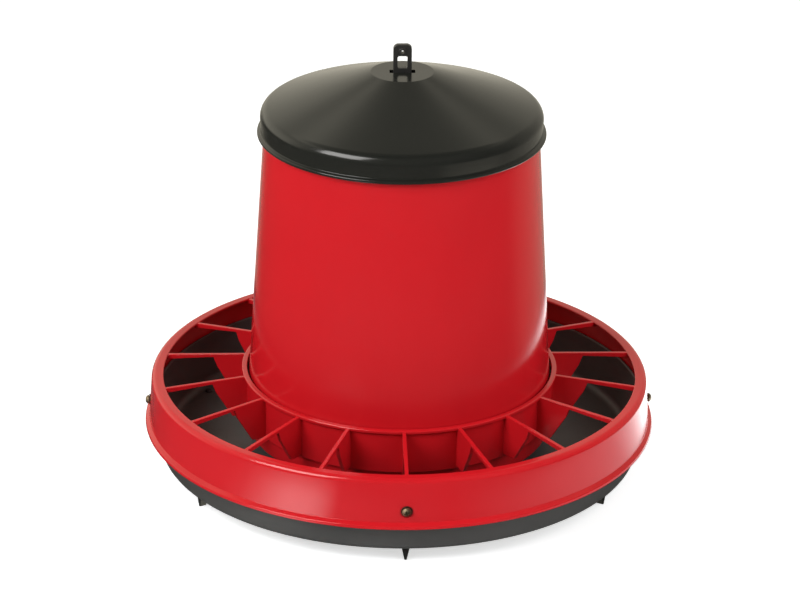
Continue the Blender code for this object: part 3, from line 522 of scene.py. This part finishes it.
def buildFeet():
    stemTop = pan["underside"] + pan["wall"] + seatGap
    shoulder = feet["height"] - seatGap
    stemEnd = shoulder - feet["stemBite"]
    edge = feet["edge"]
    part = edge * feet["edgePart"]
    peg = turned("peg", [
        (0, stemTop + feet["headHeight"]),
        (feet["headRadius"] - feet["headTaper"], stemTop + feet["headHeight"], feet["headTopEdge"]),
        (feet["headRadius"], stemTop, feet["headFootEdge"]),
        (feet["stemRadius"], stemTop),
        (feet["stemRadius"], stemEnd),
        (0, stemEnd),
    ], False, smallSteps, collection=fasteners)
    blade = lofted("blade", [
        footLevel(0, edge), footLevel(part, part), footLevel(edge),
        footLevel(shoulder - edge), footLevel(shoulder - part, part), footLevel(shoulder, edge),
    ])
    first = merged(peg, blade)
    for number, t in enumerate(evenTurns(feet["count"]), 1):
        foot = repeated(first, "foot_peg_%d" % number, spun(t) @ shifted(0, -feet["circle"]))
        mounted(foot, "base", strapPlastic, "black_plastic", "foot_%d" % number)
    bpy.data.objects.remove(first, do_unlink=True)


buildFeet()
print("feet made")


grille = {
    "bottom": 37.0, "height": 41.0, "slope": 0.066, "topRound": 4.5, "wall": 2.2,
    "lipProud": 3.6, "lipHeight": 2.6, "lipDraft": 0.4, "lipRound": 1.2, "lipInsideRound": 0.5,
    "step": 2.4, "stepRound": 0.8, "stepInsideRound": 0.6, "footRound": 0.8,
    "flange": 9.7, "flangeEdges": (0.7, 0.9),
    "collarTop": 83.5, "collarDepth": 37.5, "collarWall": 2.2, "collarInner": 126.2, "collarRound": 0.7,
    "rimWidth": 4.4, "rimHeight": 3.0, "rimRound": 1.2, "rimInsideRound": 0.5,
    "dividers": 18, "dividerThickness": 3.2, "dividerDepth": 5.0, "sink": 0.5, "bite": 1.5, "dividerEdge": 0.45,
    "gussetReach": 26.4, "gussetMidReach": 23.6, "gussetMidDepth": 13.0, "gussetFootReach": 10.0,
    "gussetFootRise": 2.0, "gussetTopRound": 0.8, "gussetBend": 6.0, "gussetFootRound": 1.5,
}


def bandRadius(height):
    return pan["rimRadius"] + seatGap + grille["wall"] + (pan["rimTop"] - height) * grille["slope"]


def screwSeat():
    # where the flats for the grille's screws lie
    return bandRadius(screws["height"]) - screws["spotFaceDepth"]


def buildGrille():
    bottom, wall = grille["bottom"], grille["wall"]
    top = bottom + grille["height"]
    lipTop = bottom + grille["lipHeight"]
    stepTop = lipTop + grille["step"]
    skirt = bandRadius(stepTop)
    lip = skirt + grille["lipProud"]
    flangeRadius = bandRadius(top) - grille["flange"]
    band = turned("grille_band", [
        (bandRadius(top), top, grille["topRound"]),
        (skirt, stepTop, grille["stepRound"]),
        (lip - grille["lipDraft"], lipTop, grille["lipRound"]),
        (lip, bottom, grille["footRound"]),
        (lip - wall, bottom, grille["footRound"]),
        (lip - wall - grille["lipDraft"], lipTop - grille["lipHeight"] / 2, grille["lipInsideRound"]),
        (skirt - wall, stepTop - grille["lipHeight"] / 2, grille["stepInsideRound"]),
        (bandRadius(top - wall) - wall, top - wall, grille["topRound"] - wall),
        (flangeRadius, top - wall, grille["flangeEdges"][0]),
        (flangeRadius, top, grille["flangeEdges"][1]),
    ])
    inner = grille["collarInner"]
    outerWall = inner + grille["collarWall"]
    rim = inner + grille["rimWidth"]
    collarTop = grille["collarTop"]
    collarBottom = collarTop - grille["collarDepth"]
    rimUnder = collarTop - grille["rimHeight"]
    collar = turned("grille_collar", [
        (rim, collarTop, grille["rimRound"]),
        (rim, rimUnder, grille["collarRound"]),
        (outerWall, rimUnder, grille["rimInsideRound"]),
        (outerWall, collarBottom, grille["collarRound"]),
        (inner, collarBottom, grille["collarRound"]),
        (inner, collarTop, grille["collarRound"]),
    ])
    start = inner + grille["collarWall"] / 2
    end = bandRadius(top) - wall / 2
    innerTop = collarTop - grille["sink"]
    outerTop = top - grille["sink"]
    gussetFoot = collarBottom + grille["gussetFootRise"]
    side = softened([
        (start, innerTop),
        (flangeRadius + grille["bite"], outerTop),
        (end, top - wall),
        (end, outerTop - grille["dividerDepth"]),
        (rim + grille["gussetReach"], innerTop - grille["dividerDepth"], grille["gussetTopRound"]),
        (rim + grille["gussetMidReach"], collarTop - grille["gussetMidDepth"], grille["gussetBend"]),
        (rim + grille["gussetFootReach"], gussetFoot, grille["gussetFootRound"]),
        (start, gussetFoot),
    ])
    first = plate("divider", [side], grille["dividerThickness"], grille["dividerEdge"], upright)
    spokes = [repeated(first, "spoke_%d" % i, spun(t - pi / 2))
              for i, t in enumerate(evenTurns(grille["dividers"]))]
    bpy.data.objects.remove(first, do_unlink=True)
    ring = merged(band, collar)
    ring = merged(ring, gathered("spokes", spokes))
    faces = [drill(screws["spotFaceRadius"], 0, screws["spotFaceOut"], outward(t, screwSeat(), screws["height"]))
             for t in evenTurns(screws["count"])]
    ring = carved(ring, gathered("spot_faces", faces))
    ring = carved(ring, gathered("grille_holes", screwHoles()))
    ring.name = "grille_moulding"
    return ring


mounted(buildGrille(), "base", redPlastic, "red_plastic", "anti_waste_grille")
print("grille made")


thread = {"root": 0.86, "tipHeight": 0.3, "tipTaper": 0.4}
washers = {"radius": 4.6, "thickness": 0.8, "outerEdges": (0.25, 0.2), "innerEdges": (0.1, 0.2)}
nuts = {"across": 7.0, "thickness": 3.2, "edge": 0.1, "chamferIn": 0.8, "chamferOut": 0.4, "chamferDepth": 0.7}


def threaded(radius, low, high, pitch):
    # profile corners down a threaded shank, as close rings
    corners = []
    height = high
    while height - pitch > low:
        corners += [(radius, height), (radius * thread["root"], height - pitch / 2)]
        height -= pitch
    return corners + [(radius, height), (radius, low + thread["tipHeight"]), (radius - thread["tipTaper"], low)]


def crossRecess(span, width, depth, top, past=3):
    slots = [block("slot", (-span / 2, -width / 2, top - depth), (span / 2, width / 2, top + past), place=spun(t))
             for t in (0, pi / 2)]
    return merged(*slots)


def buildScrew(sizes, length):
    # points along -Z from the underside of its head
    head = sizes["headHeight"]
    corners = [
        (0, head),
        (sizes["crownRadius"], head, sizes["crownRound"]),
        (sizes["headRadius"], sizes["brimHeight"], sizes["brimRound"]),
        (sizes["headRadius"], 0, sizes["footEdge"]),
        (sizes["radius"], 0),
    ]
    corners += threaded(sizes["radius"], -length, -sizes["plainLength"], sizes["pitch"]) + [(0, -length)]
    screw = turned("screw", corners, False, smallSteps, collection=fasteners)
    return carved(screw, crossRecess(sizes["crossSpan"], sizes["crossWidth"], sizes["crossDepth"], head))


def buildWasher(bore):
    thick = washers["thickness"]
    return turned("washer", [
        (washers["radius"], thick, washers["outerEdges"][0]), (washers["radius"], 0, washers["outerEdges"][1]),
        (bore, 0, washers["innerEdges"][0]), (bore, thick, washers["innerEdges"][1]),
    ], True, smallSteps, collection=fasteners)


def buildNut(bore):
    # a hexagon with its corners turned down at both faces
    corner = nuts["across"] / 2 / cos(pi / 6)
    half = nuts["thickness"] / 2
    near, far = corner - nuts["chamferIn"], corner + nuts["chamferOut"]
    low = half - nuts["chamferDepth"]
    nut = plate("nut", [circle(0, 0, corner, 6), circle(0, 0, bore)], nuts["thickness"], nuts["edge"],
                collection=fasteners)
    chamfer = turned("chamfer", [(0, half), (near, half), (far, low), (far, -low), (near, -half), (0, -half)],
                     False, smallSteps)
    return merged(nut, chamfer, how="INTERSECT")


def buildGrilleFixings():
    washerIn = screwSeat() + seatGap
    headIn = washerIn + washers["thickness"] + seatGap
    nutOut = pan["rimRadius"] - pan["wall"] - seatGap
    bore = screws["radius"] + screws["holeGap"]
    screw = buildScrew(screws, headIn - (nutOut - nuts["thickness"]) + screws["endProud"])
    rows = (
        (screw, "screw", headIn, radians(screws["turn"]), zincPlate, "zinc"),
        (buildWasher(bore), "washer", washerIn, radians(screws["turn"]), darkSteel, "dark_steel"),
        (buildNut(bore), "nut", nutOut - nuts["thickness"] / 2, 0, zincPlate, "zinc"),
    )
    for side, t in zip(("front", "right", "back", "left"), evenTurns(screws["count"])):
        for source, kind, radius, turn, material, slotName in rows:
            place = outward(t, radius, screws["height"]) @ spun(turn)
            piece = repeated(source, "%s_%s_detail" % (kind, side), place)
            mounted(piece, "base", material, slotName, "grille_%s_%s" % (kind, side))
    for row in rows:
        bpy.data.objects.remove(row[0], do_unlink=True)


buildGrilleFixings()
print("grille fixings made")


hopper = {
    "bottom": 30.0, "shoulder": 80.0, "top": 305.0, "topRadius": 110.4, "baseRadius": 124.6, "wall": 2.2,
    "rimRound": 0.9, "bend": 60.0,
    "lugReach": 13.0, "lugWidth": 18.0, "lugHeight": 12.0, "lugSink": 1.0, "lugEdge": 0.8,
}
bridge = {
    "bottom": 238.3, "height": 10.0, "width": 14.0, "endGap": 1.0, "padMargin": 8.0, "corner": 2.0, "edge": 0.5,
    "slotPlay": 0.8, "slotCorner": 0.5, "screwInset": 7.0, "pilotDepth": 30.0, "pilotPast": 5.0,
}
bridgeScrews = {
    "radius": 1.5, "bite": 9.0, "pitch": 1.0, "plainLength": 1.0, "turn": 28,
    "headRadius": 3.2, "headHeight": 2.0, "crownRadius": 1.9, "crownRound": 1.0,
    "brimHeight": 0.8, "brimRound": 0.5, "footEdge": 0.15, "crossSpan": 3.2, "crossWidth": 0.8, "crossDepth": 1.2,
}


def hopperRadius(height):
    share = (height - hopper["shoulder"]) / (hopper["top"] - hopper["shoulder"])
    return hopper["baseRadius"] + max(0, share) * (hopper["topRadius"] - hopper["baseRadius"])


def bridgeHalf():
    return hopperRadius(bridge["bottom"] + bridge["height"]) - hopper["wall"] - bridge["endGap"]


def buildHopper():
    wall, edge = hopper["wall"], hopper["rimRound"]
    base, top = hopper["baseRadius"], hopper["topRadius"]
    shell = turned("hopper_shell", [
        (top, hopper["top"], edge),
        (base, hopper["shoulder"], hopper["bend"]),
        (base, hopper["bottom"], edge),
        (base - wall, hopper["bottom"], edge),
        (base - wall, hopper["shoulder"], hopper["bend"]),
        (top - wall, hopper["top"], edge),
    ])
    lugTop = bridge["bottom"] - seatGap
    inside = hopperRadius(lugTop) - wall
    near, far = inside - hopper["lugReach"], inside + hopper["lugSink"]
    lugs, pilots = [], []
    for sign in (-1, 1):
        x0, x1 = sorted((sign * near, sign * far))
        lugs.append(block("lug", (x0, -hopper["lugWidth"] / 2, lugTop - hopper["lugHeight"]),
                          (x1, hopper["lugWidth"] / 2, lugTop), hopper["lugEdge"]))
        pilots.append(drill(bridgeScrews["radius"] + seatGap, lugTop - bridge["pilotDepth"],
                            lugTop + bridge["pilotPast"], shifted(sign * (bridgeHalf() - bridge["screwInset"]))))
    shell = merged(shell, gathered("lugs", lugs))
    shell = carved(shell, gathered("pilots", pilots))
    shell.name = "hopper_shell"
    return shell


mounted(buildHopper(), "hopper", redPlastic, "red_plastic", "hopper")
print("hopper made")


def buildBridge():
    half, wide = bridgeHalf(), bridge["width"] / 2
    slotX = strap["width"] / 2 + bridge["slotPlay"]
    slotY = strap["thickness"] / 2 + bridge["slotPlay"]
    padX, padY = slotX + bridge["padMargin"], slotY + bridge["padMargin"]
    corner = bridge["corner"]
    quarter = [(padX, wide, corner), (padX, padY, corner)]
    outline = softened(
        [(half, -wide, corner), (half, wide, corner)] + quarter
        + [(-x, y, r) for x, y, r in reversed(quarter)]
        + [(-half, wide, corner), (-half, -wide, corner)]
        + [(-x, -y, r) for x, y, r in quarter]
        + [(x, -y, r) for x, y, r in reversed(quarter)])
    x = half - bridge["screwInset"]
    bore = bridgeScrews["radius"] + seatGap
    holes = [roundRectangle(-slotX, slotX, -slotY, slotY, bridge["slotCorner"]), circle(-x, 0, bore),
             circle(x, 0, bore)]
    return plate("bridge_bar", [outline] + holes, bridge["height"], bridge["edge"],
                 shifted(height=bridge["bottom"] + bridge["height"] / 2))


mounted(buildBridge(), "hopper", strapPlastic, "black_plastic", "hopper_bridge")


def buildBridgeScrews():
    screw = buildScrew(bridgeScrews, bridge["height"] + seatGap + bridgeScrews["bite"])
    top = bridge["bottom"] + bridge["height"] + seatGap
    for side, sign in (("left", -1), ("right", 1)):
        place = shifted(sign * (bridgeHalf() - bridge["screwInset"]), 0, top) @ spun(radians(bridgeScrews["turn"]))
        piece = repeated(screw, "bridge_screw_detail_" + side, place)
        mounted(piece, "hopper", zincPlate, "zinc", "bridge_screw_" + side)
    bpy.data.objects.remove(screw, do_unlink=True)


buildBridgeScrews()
print("bridge made")


def buildStrap():
    half = strap["width"] / 2
    footCorner, topCorner = strap["footCorner"], strap["corner"]
    outline = softened([(-half, strap["bottom"], footCorner), (half, strap["bottom"], footCorner),
                        (half, strap["top"], topCorner), (-half, strap["top"], topCorner)])
    w = strap["windowWidth"] / 2
    windows = [roundRectangle(-w, w, low, low + strap["windowHeight"], strap["windowCorner"])
               for low in strap["windowLows"]]
    pinHole = circle(0, strap["bottom"] + pan["pinRise"], strap["pinRadius"] + seatGap)
    bar = plate("strap_bar", [outline, pinHole] + windows, strap["thickness"], strap["edge"], upright)
    eyePlace = outward(0, 0, strap["top"] - strap["eyeDrop"])
    face = strap["thickness"] / 2 + strap["ringProud"]
    radius, edge = strap["ringRadius"], strap["ringEdge"]
    ring = turned("eye_ring", [(0, face), (radius, face, edge), (radius, -face, edge), (0, -face)], False,
                  smallSteps, eyePlace)
    eye = drill(strap["eyeRadius"], -strap["drillPast"], strap["drillPast"], eyePlace)
    bar = carved(merged(bar, ring), eye)
    bar.name = "strap_bar"
    return bar


mounted(buildStrap(), "base", strapPlastic, "black_plastic", "hanging_strap")

pin = {
    "headRadius": 3.6, "headHeight": 1.8, "crownRadius": 2.5, "crownRound": 1.0, "footEdge": 0.3, "endRound": 0.5,
}


def buildPin():
    seat = pan["bossRadius"] + seatGap
    end = seat + pin["headHeight"]
    radius = strap["pinRadius"]
    return turned("strap_pin_detail", [
        (0, end), (pin["crownRadius"], end, pin["crownRound"]), (pin["headRadius"], seat, pin["footEdge"]),
        (radius, seat), (radius, -end, pin["endRound"]), (0, -end),
    ], False, smallSteps, outward(0, 0, strap["bottom"] + pan["pinRise"]), fasteners)


mounted(buildPin(), "base", zincPlate, "zinc", "strap_pin")

key = {
    "width": 6.8, "height": 4.0, "reach": 16.0, "corner": 1.6, "edge": 0.4,
    "gripFlare": 2.6, "gripThickness": 3.0, "gripLength": 14.0, "gripBite": 1.0, "gripEdge": 0.5,
    "gripFrontCorner": 4.0, "gripBackCorner": 1.0,
    "ridges": 4, "ridgeRadius": 0.45, "ridgeHalf": 4.4, "ridgeEdge": 0.3, "ridgeFirst": 3.4, "ridgeStep": 2.3,
}


def buildKey():
    middle = shifted(height=bridge["bottom"] - seatGap - key["height"] / 2)
    halfWide, halfHigh = key["width"] / 2, key["height"] / 2
    shank = plate("key_shank", [roundRectangle(-halfWide, halfWide, -halfHigh, halfHigh, key["corner"])],
                  2 * key["reach"], key["edge"], middle @ upright)
    front = -key["reach"] - key["gripLength"]
    back = -key["reach"] + key["gripBite"]
    wide = halfWide + key["gripFlare"]
    outline = softened([
        (-wide, front, key["gripFrontCorner"]), (wide, front, key["gripFrontCorner"]),
        (wide, back, key["gripBackCorner"]), (-wide, back, key["gripBackCorner"]),
    ])
    grip = plate("key_grip", [outline], key["gripThickness"], key["gripEdge"], middle)
    radius, half, edge = key["ridgeRadius"], key["ridgeHalf"], key["ridgeEdge"]
    across = Matrix.Rotation(pi / 2, 4, "Y")
    ridges = []
    for i in range(key["ridges"]):
        for face in (-key["gripThickness"] / 2, key["gripThickness"] / 2):
            place = middle @ shifted(0, front + key["ridgeFirst"] + key["ridgeStep"] * i, face) @ across
            ridges.append(turned("ridge", [(0, half), (radius, half, edge), (radius, -half, edge), (0, -half)],
                                 False, ridgeSteps, place))
    whole = merged(merged(shank, grip), gathered("ridges", ridges))
    whole.name = "key_moulding"
    return whole


mounted(buildKey(), "key", redPlastic, "red_plastic", "height_key")
print("strap, pin and key made")


lid = {
    "top": 340.0, "discRadius": 25.4, "discRound": 1.0, "eaveRadius": 114.3, "eaveHeight": 308.6, "eaveRound": 9.0,
    "bottom": 288.0, "wall": 1.8, "skirtGap": 0.6, "footRound": 0.6,
    "beadHeight": 3.4, "beadProud": 2.7, "beadSlope": 1.0, "beadRounds": (0.8, 1.2, 0.9),
    "seatWidth": 7.4, "seatRound": 0.4, "seatTopRound": 1.0, "insideRound": 2.0,
    "slotPlayX": 2.9, "slotPlayY": 1.3, "slotCorner": 0.8, "slotReach": 12.0, "slotEdge": 0.01,
}


def buildLid():
    wall, top = lid["wall"], lid["top"]
    fall = (top - lid["eaveHeight"]) / (lid["eaveRadius"] - lid["discRadius"])
    skirtIn = hopperRadius(lid["bottom"]) + lid["skirtGap"]
    skirtOut = skirtIn + wall
    beadTop = lid["bottom"] + lid["beadHeight"]
    seat = hopper["top"] + seatGap
    seatIn = lid["eaveRadius"] - wall - lid["seatWidth"]
    roofInside = top - wall - fall * (seatIn - lid["discRadius"])
    shell = turned("lid_shell", [
        (0, top),
        (lid["discRadius"], top, lid["discRound"]),
        (lid["eaveRadius"], lid["eaveHeight"], lid["eaveRound"]),
        (skirtOut, beadTop, lid["beadRounds"][0]),
        (skirtOut + lid["beadProud"], beadTop - lid["beadSlope"], lid["beadRounds"][1]),
        (skirtOut + lid["beadProud"], lid["bottom"], lid["beadRounds"][2]),
        (skirtIn, lid["bottom"], lid["footRound"]),
        (lid["eaveRadius"] - wall, seat),
        (seatIn, seat, lid["seatRound"]),
        (seatIn, roofInside, lid["seatTopRound"]),
        (lid["discRadius"], top - wall, lid["insideRound"]),
        (0, top - wall),
    ], closed=False)
    x = strap["width"] / 2 + lid["slotPlayX"]
    y = strap["thickness"] / 2 + lid["slotPlayY"]
    slot = plate("lid_slot", [roundRectangle(-x, x, -y, y, lid["slotCorner"])], lid["slotReach"], lid["slotEdge"],
                 shifted(height=top))
    shell = carved(shell, slot)
    shell.name = "lid_shell"
    return shell


mounted(buildLid(), "lid", lidPlastic, "black_plastic", "lid")
print("lid made")


camera = {
    "lens": 148.4, "sensor": 36, "clipEnd": 50, "distance": 2.715, "elevation": 23.43, "azimuth": -1.96,
    "roll": 0.6, "target": (0, 0, 0.1408),
}
floorLook = {"size": 12.0, "colour": (0.88, 0.91, 0.95), "lift": 0.60, "roughness": 0.9, "shine": 0.1}
worldLook = {
    "shown": 1.05, "tint": (1.0, 0.94, 0.77),      # white to the camera, warm walls to all else
    # stops of a direction's height and the studio's brightness there, which falls off to the right and the front
    "sky": ((-0.1, 0.68), (0.02, 0.70), (0.16, 0.75), (0.30, 0.74), (0.46, 0.70), (0.55, 0.54), (0.60, 0.49),
            (0.64, 0.56), (0.68, 0.77), (0.72, 0.86), (0.75, 0.64), (0.78, 0.44), (0.81, 0.32), (0.85, 0.24),
            (0.89, 0.19), (1.0, 0.13)),
    "skyLean": -0.6, "skyFront": 0.2, "frontAt": -0.2, "backAt": 0.3,
    # below the horizon: stops of a direction's turn to the back and, by a share, to the right
    "low": ((-1.2, 0.10), (0.4, 0.06), (0.55, 0.10), (0.72, 0.26), (0.88, 0.34), (1.0, 0.38), (1.2, 0.40)),
    "lowLean": 0.5,
    # and what a backdrop adds to that: stops of a direction's turn to the back
    "behind": ((-1.0, 0.0), (0.90, 0.0), (0.96, 0.34), (1.0, 0.34)),
    # steeply down: stops of a direction's turn to the right
    "steep": ((-1.0, 0.3), (-0.7, 0.5), (0.0, 0.35), (0.42, 0.4), (0.56, 1.5), (0.85, 2.2), (1.0, 2.2)),
    "steepFull": -0.44, "steepFrom": -0.40, "horizonLow": -0.12, "horizonHigh": 0.04,
}
lampAim = (0, 0, 0.17)
lamps = {
    # name: azimuth, elevation, distance, width, height, power, colour, seen in gloss
    "key_box": (-52, 36, 1.9, 1.1, 1.0, 27, (1.0, 0.985, 0.96), True),
    "fill_box": (58, 36, 2.3, 2.2, 2.2, 37, (1.0, 0.98, 0.95), False),
}
sheen = {
    # a glowing ring on the floor, no lamp, that paints reflected highlights into the feeder's polished faces where
    # they mirror the floor round it: stops of radius and share, azimuth and brightness
    "rise": 0.5, "radii": ((190, 0), (238, 0), (262, 1), (360, 1), (430, 0)), "turnStep": 1.5,
    "stops": ((-180, 0.30), (-100, 0.05), (-60, 0.15), (-53, 0.4), (-47, 1.3), (-42, 2.4), (-37, 3.6), (-30, 3.6),
              (-26, 2.6), (-21, 0.3), (15, 0.05), (34, 0.5), (52, 0.95), (80, 1.15), (92, 2.0), (104, 3.6),
              (120, 4.0), (140, 3.0), (180, 0.30)),
}


def spherical(azimuth, elevation, distance):
    a, e = radians(azimuth), radians(elevation)
    return Vector((sin(a) * cos(e), -cos(a) * cos(e), sin(e))) * distance


def aimed(place, arm):
    # looks back along the arm
    return Matrix.Translation(place) @ (-arm).to_track_quat("-Z", "Y").to_matrix().to_4x4()


def buildCamera():
    data = bpy.data.cameras.new("studio_camera")
    data.lens = camera["lens"]
    data.sensor_width = camera["sensor"]
    data.clip_end = camera["clipEnd"]
    eye = bpy.data.objects.new("studio_camera", data)
    studio.objects.link(eye)
    arm = spherical(camera["azimuth"], camera["elevation"], camera["distance"])
    eye.matrix_world = aimed(Vector(camera["target"]) + arm, arm) @ spun(radians(camera["roll"]))
    bpy.context.scene.camera = eye


def buildLamps():
    for name, (azimuth, elevation, distance, width, height, power, colour, glossy) in lamps.items():
        data = bpy.data.lights.new(name, "AREA")
        data.shape = "RECTANGLE"
        data.size, data.size_y = width, height
        data.energy = power
        data.color = colour
        lamp = bpy.data.objects.new(name, data)
        studio.objects.link(lamp)
        arm = spherical(azimuth, elevation, distance)
        lamp.matrix_world = aimed(Vector(lampAim) + arm, arm)
        lamp.visible_glossy = glossy


def brightnessRamp(tree, value, stops):
    # turns a value into the brightness between its nearest stops
    low, high = stops[0][0], stops[-1][0]
    span = mapped(tree, value, low, high)
    ramp = tree.nodes.new("ShaderNodeFloatCurve")
    curve = ramp.mapping.curves[0]
    brightest = max(level for place, level in stops)
    places = [((place - low) / (high - low), level / brightest) for place, level in stops]
    curve.points[0].location = places[0]
    curve.points[-1].location = places[-1]
    for place in places[1:-1]:
        curve.points.new(*place)
    for point in curve.points:
        point.handle_type = "VECTOR"
    ramp.mapping.update()
    tree.links.new(span.outputs["Result"], ramp.inputs["Value"])
    return mathNode(tree, "MULTIPLY", ramp.outputs["Value"], brightest)


def buildFloor():
    # plain and pale, and left out of reflections
    bm = bmesh.new()
    bmesh.ops.create_grid(bm, x_segments=1, y_segments=1, size=floorLook["size"] / 2)
    floor = pieceFrom(bm, "studio_floor", studio)
    floor.visible_glossy = False
    material = bpy.data.materials.new("studio_floor")
    material.use_nodes = True
    tree = material.node_tree
    shader = tree.nodes["Principled BSDF"]
    shader.inputs["Base Color"].default_value = (*floorLook["colour"], 1)
    shader.inputs["Roughness"].default_value = floorLook["roughness"]
    shader.inputs["Specular IOR Level"].default_value = floorLook["shine"]
    shader.inputs["Emission Color"].default_value = (1, 1, 1, 1)
    path = tree.nodes.new("ShaderNodeLightPath")
    tree.links.new(mathNode(tree, "MULTIPLY", path.outputs["Is Camera Ray"], floorLook["lift"]),
                   shader.inputs["Emission Strength"])
    floor.data.materials.append(material)


def between(stops, place):
    for (before, low), (after, high) in zip(stops, stops[1:]):
        if place <= after:
            return low + (high - low) * (place - before) / (after - before)
    return stops[-1][1]


def buildSheen():
    # a glowing ring, no lamp, that only reflections see: its emission paints highlights into the feeder's polished
    # faces
    bm = bmesh.new()
    level = bm.verts.layers.float.new("sheen_level")
    steps = round(360 / sheen["turnStep"])
    rows = []
    for turn in evenTurns(steps):
        azimuth = degrees(turn)
        brightness = between(sheen["stops"], azimuth if azimuth <= 180 else azimuth - 360)
        row = [bm.verts.new(outward(turn, radius, sheen["rise"]).translation) for radius, share in sheen["radii"]]
        for vert, (radius, share) in zip(row, sheen["radii"]):
            vert[level] = brightness * share
        rows.append(row)
    for i, row in enumerate(rows):
        following = rows[(i + 1) % steps]
        for k in range(len(row) - 1):
            bm.faces.new((row[k], row[k + 1], following[k + 1], following[k]))
    ring = pieceFrom(bm, "floor_sheen", studio)
    ring.visible_camera = ring.visible_diffuse = ring.visible_shadow = ring.visible_transmission = False
    material = bpy.data.materials.new("floor_sheen")
    material.use_nodes = True
    tree = material.node_tree
    shader = tree.nodes["Principled BSDF"]
    shader.inputs["Base Color"].default_value = (0, 0, 0, 1)
    shader.inputs["Specular IOR Level"].default_value = 0
    shader.inputs["Emission Color"].default_value = (1, 1, 1, 1)
    # the painted reflection's brightness at each vertex, from the stops, drives the emission
    brightness = addNode(tree, "ShaderNodeAttribute", attribute_name="sheen_level")
    tree.links.new(brightness.outputs["Fac"], shader.inputs["Emission Strength"])
    ring.data.materials.append(material)


def blended(tree, ray, low, high, under, over):
    # from one brightness to the other as the direction rises from low to high
    height = mapped(tree, ray.outputs["Z"], low, high)
    blend = addNode(tree, "ShaderNodeMix", data_type="FLOAT")
    tree.links.new(height.outputs["Result"], blend.inputs["Factor"])
    tree.links.new(under, blend.inputs["A"])
    tree.links.new(over, blend.inputs["B"])
    return blend.outputs["Result"]


def buildWorld():
    world = bpy.data.worlds.new("studio_world")
    bpy.context.scene.world = world
    world.use_nodes = True
    tree = world.node_tree
    tree.nodes.clear()
    ray = tree.nodes.new("ShaderNodeSeparateXYZ")
    tree.links.new(tree.nodes.new("ShaderNodeTexCoord").outputs["Generated"], ray.inputs["Vector"])
    look = worldLook
    lean = mathNode(tree, "ADD", mathNode(tree, "MULTIPLY", ray.outputs["X"], look["skyLean"]), 1)
    front = mapped(tree, ray.outputs["Y"], look["frontAt"], look["backAt"], **{"To Min": look["skyFront"]})
    sky = mathNode(tree, "MULTIPLY", brightnessRamp(tree, ray.outputs["Z"], look["sky"]), lean)
    sky = mathNode(tree, "MULTIPLY", sky, front.outputs["Result"])
    turnRight = mathNode(tree, "MULTIPLY", ray.outputs["X"], look["lowLean"])
    turnBack = mathNode(tree, "ADD", turnRight, ray.outputs["Y"])
    low = mathNode(tree, "ADD", brightnessRamp(tree, turnBack, look["low"]),
                   brightnessRamp(tree, ray.outputs["Y"], look["behind"]))
    steep = brightnessRamp(tree, ray.outputs["X"], look["steep"])
    below = blended(tree, ray, look["steepFull"], look["steepFrom"], steep, low)
    blend = blended(tree, ray, look["horizonLow"], look["horizonHigh"], below, sky)
    backdrop = addNode(tree, "ShaderNodeBackground", Color=(*look["tint"], 1))
    tree.links.new(blend, backdrop.inputs["Strength"])
    seen = addNode(tree, "ShaderNodeBackground", Color=(1, 1, 1, 1), Strength=look["shown"])
    path = tree.nodes.new("ShaderNodeLightPath")
    mix = tree.nodes.new("ShaderNodeMixShader")
    output = tree.nodes.new("ShaderNodeOutputWorld")
    tree.links.new(path.outputs["Is Camera Ray"], mix.inputs["Fac"])
    tree.links.new(backdrop.outputs["Background"], mix.inputs[1])
    tree.links.new(seen.outputs["Background"], mix.inputs[2])
    tree.links.new(mix.outputs["Shader"], output.inputs["Surface"])


buildCamera()
buildLamps()
buildFloor()
buildSheen()
buildWorld()
bpy.context.scene.view_settings.view_transform = "Standard"
print("studio made")
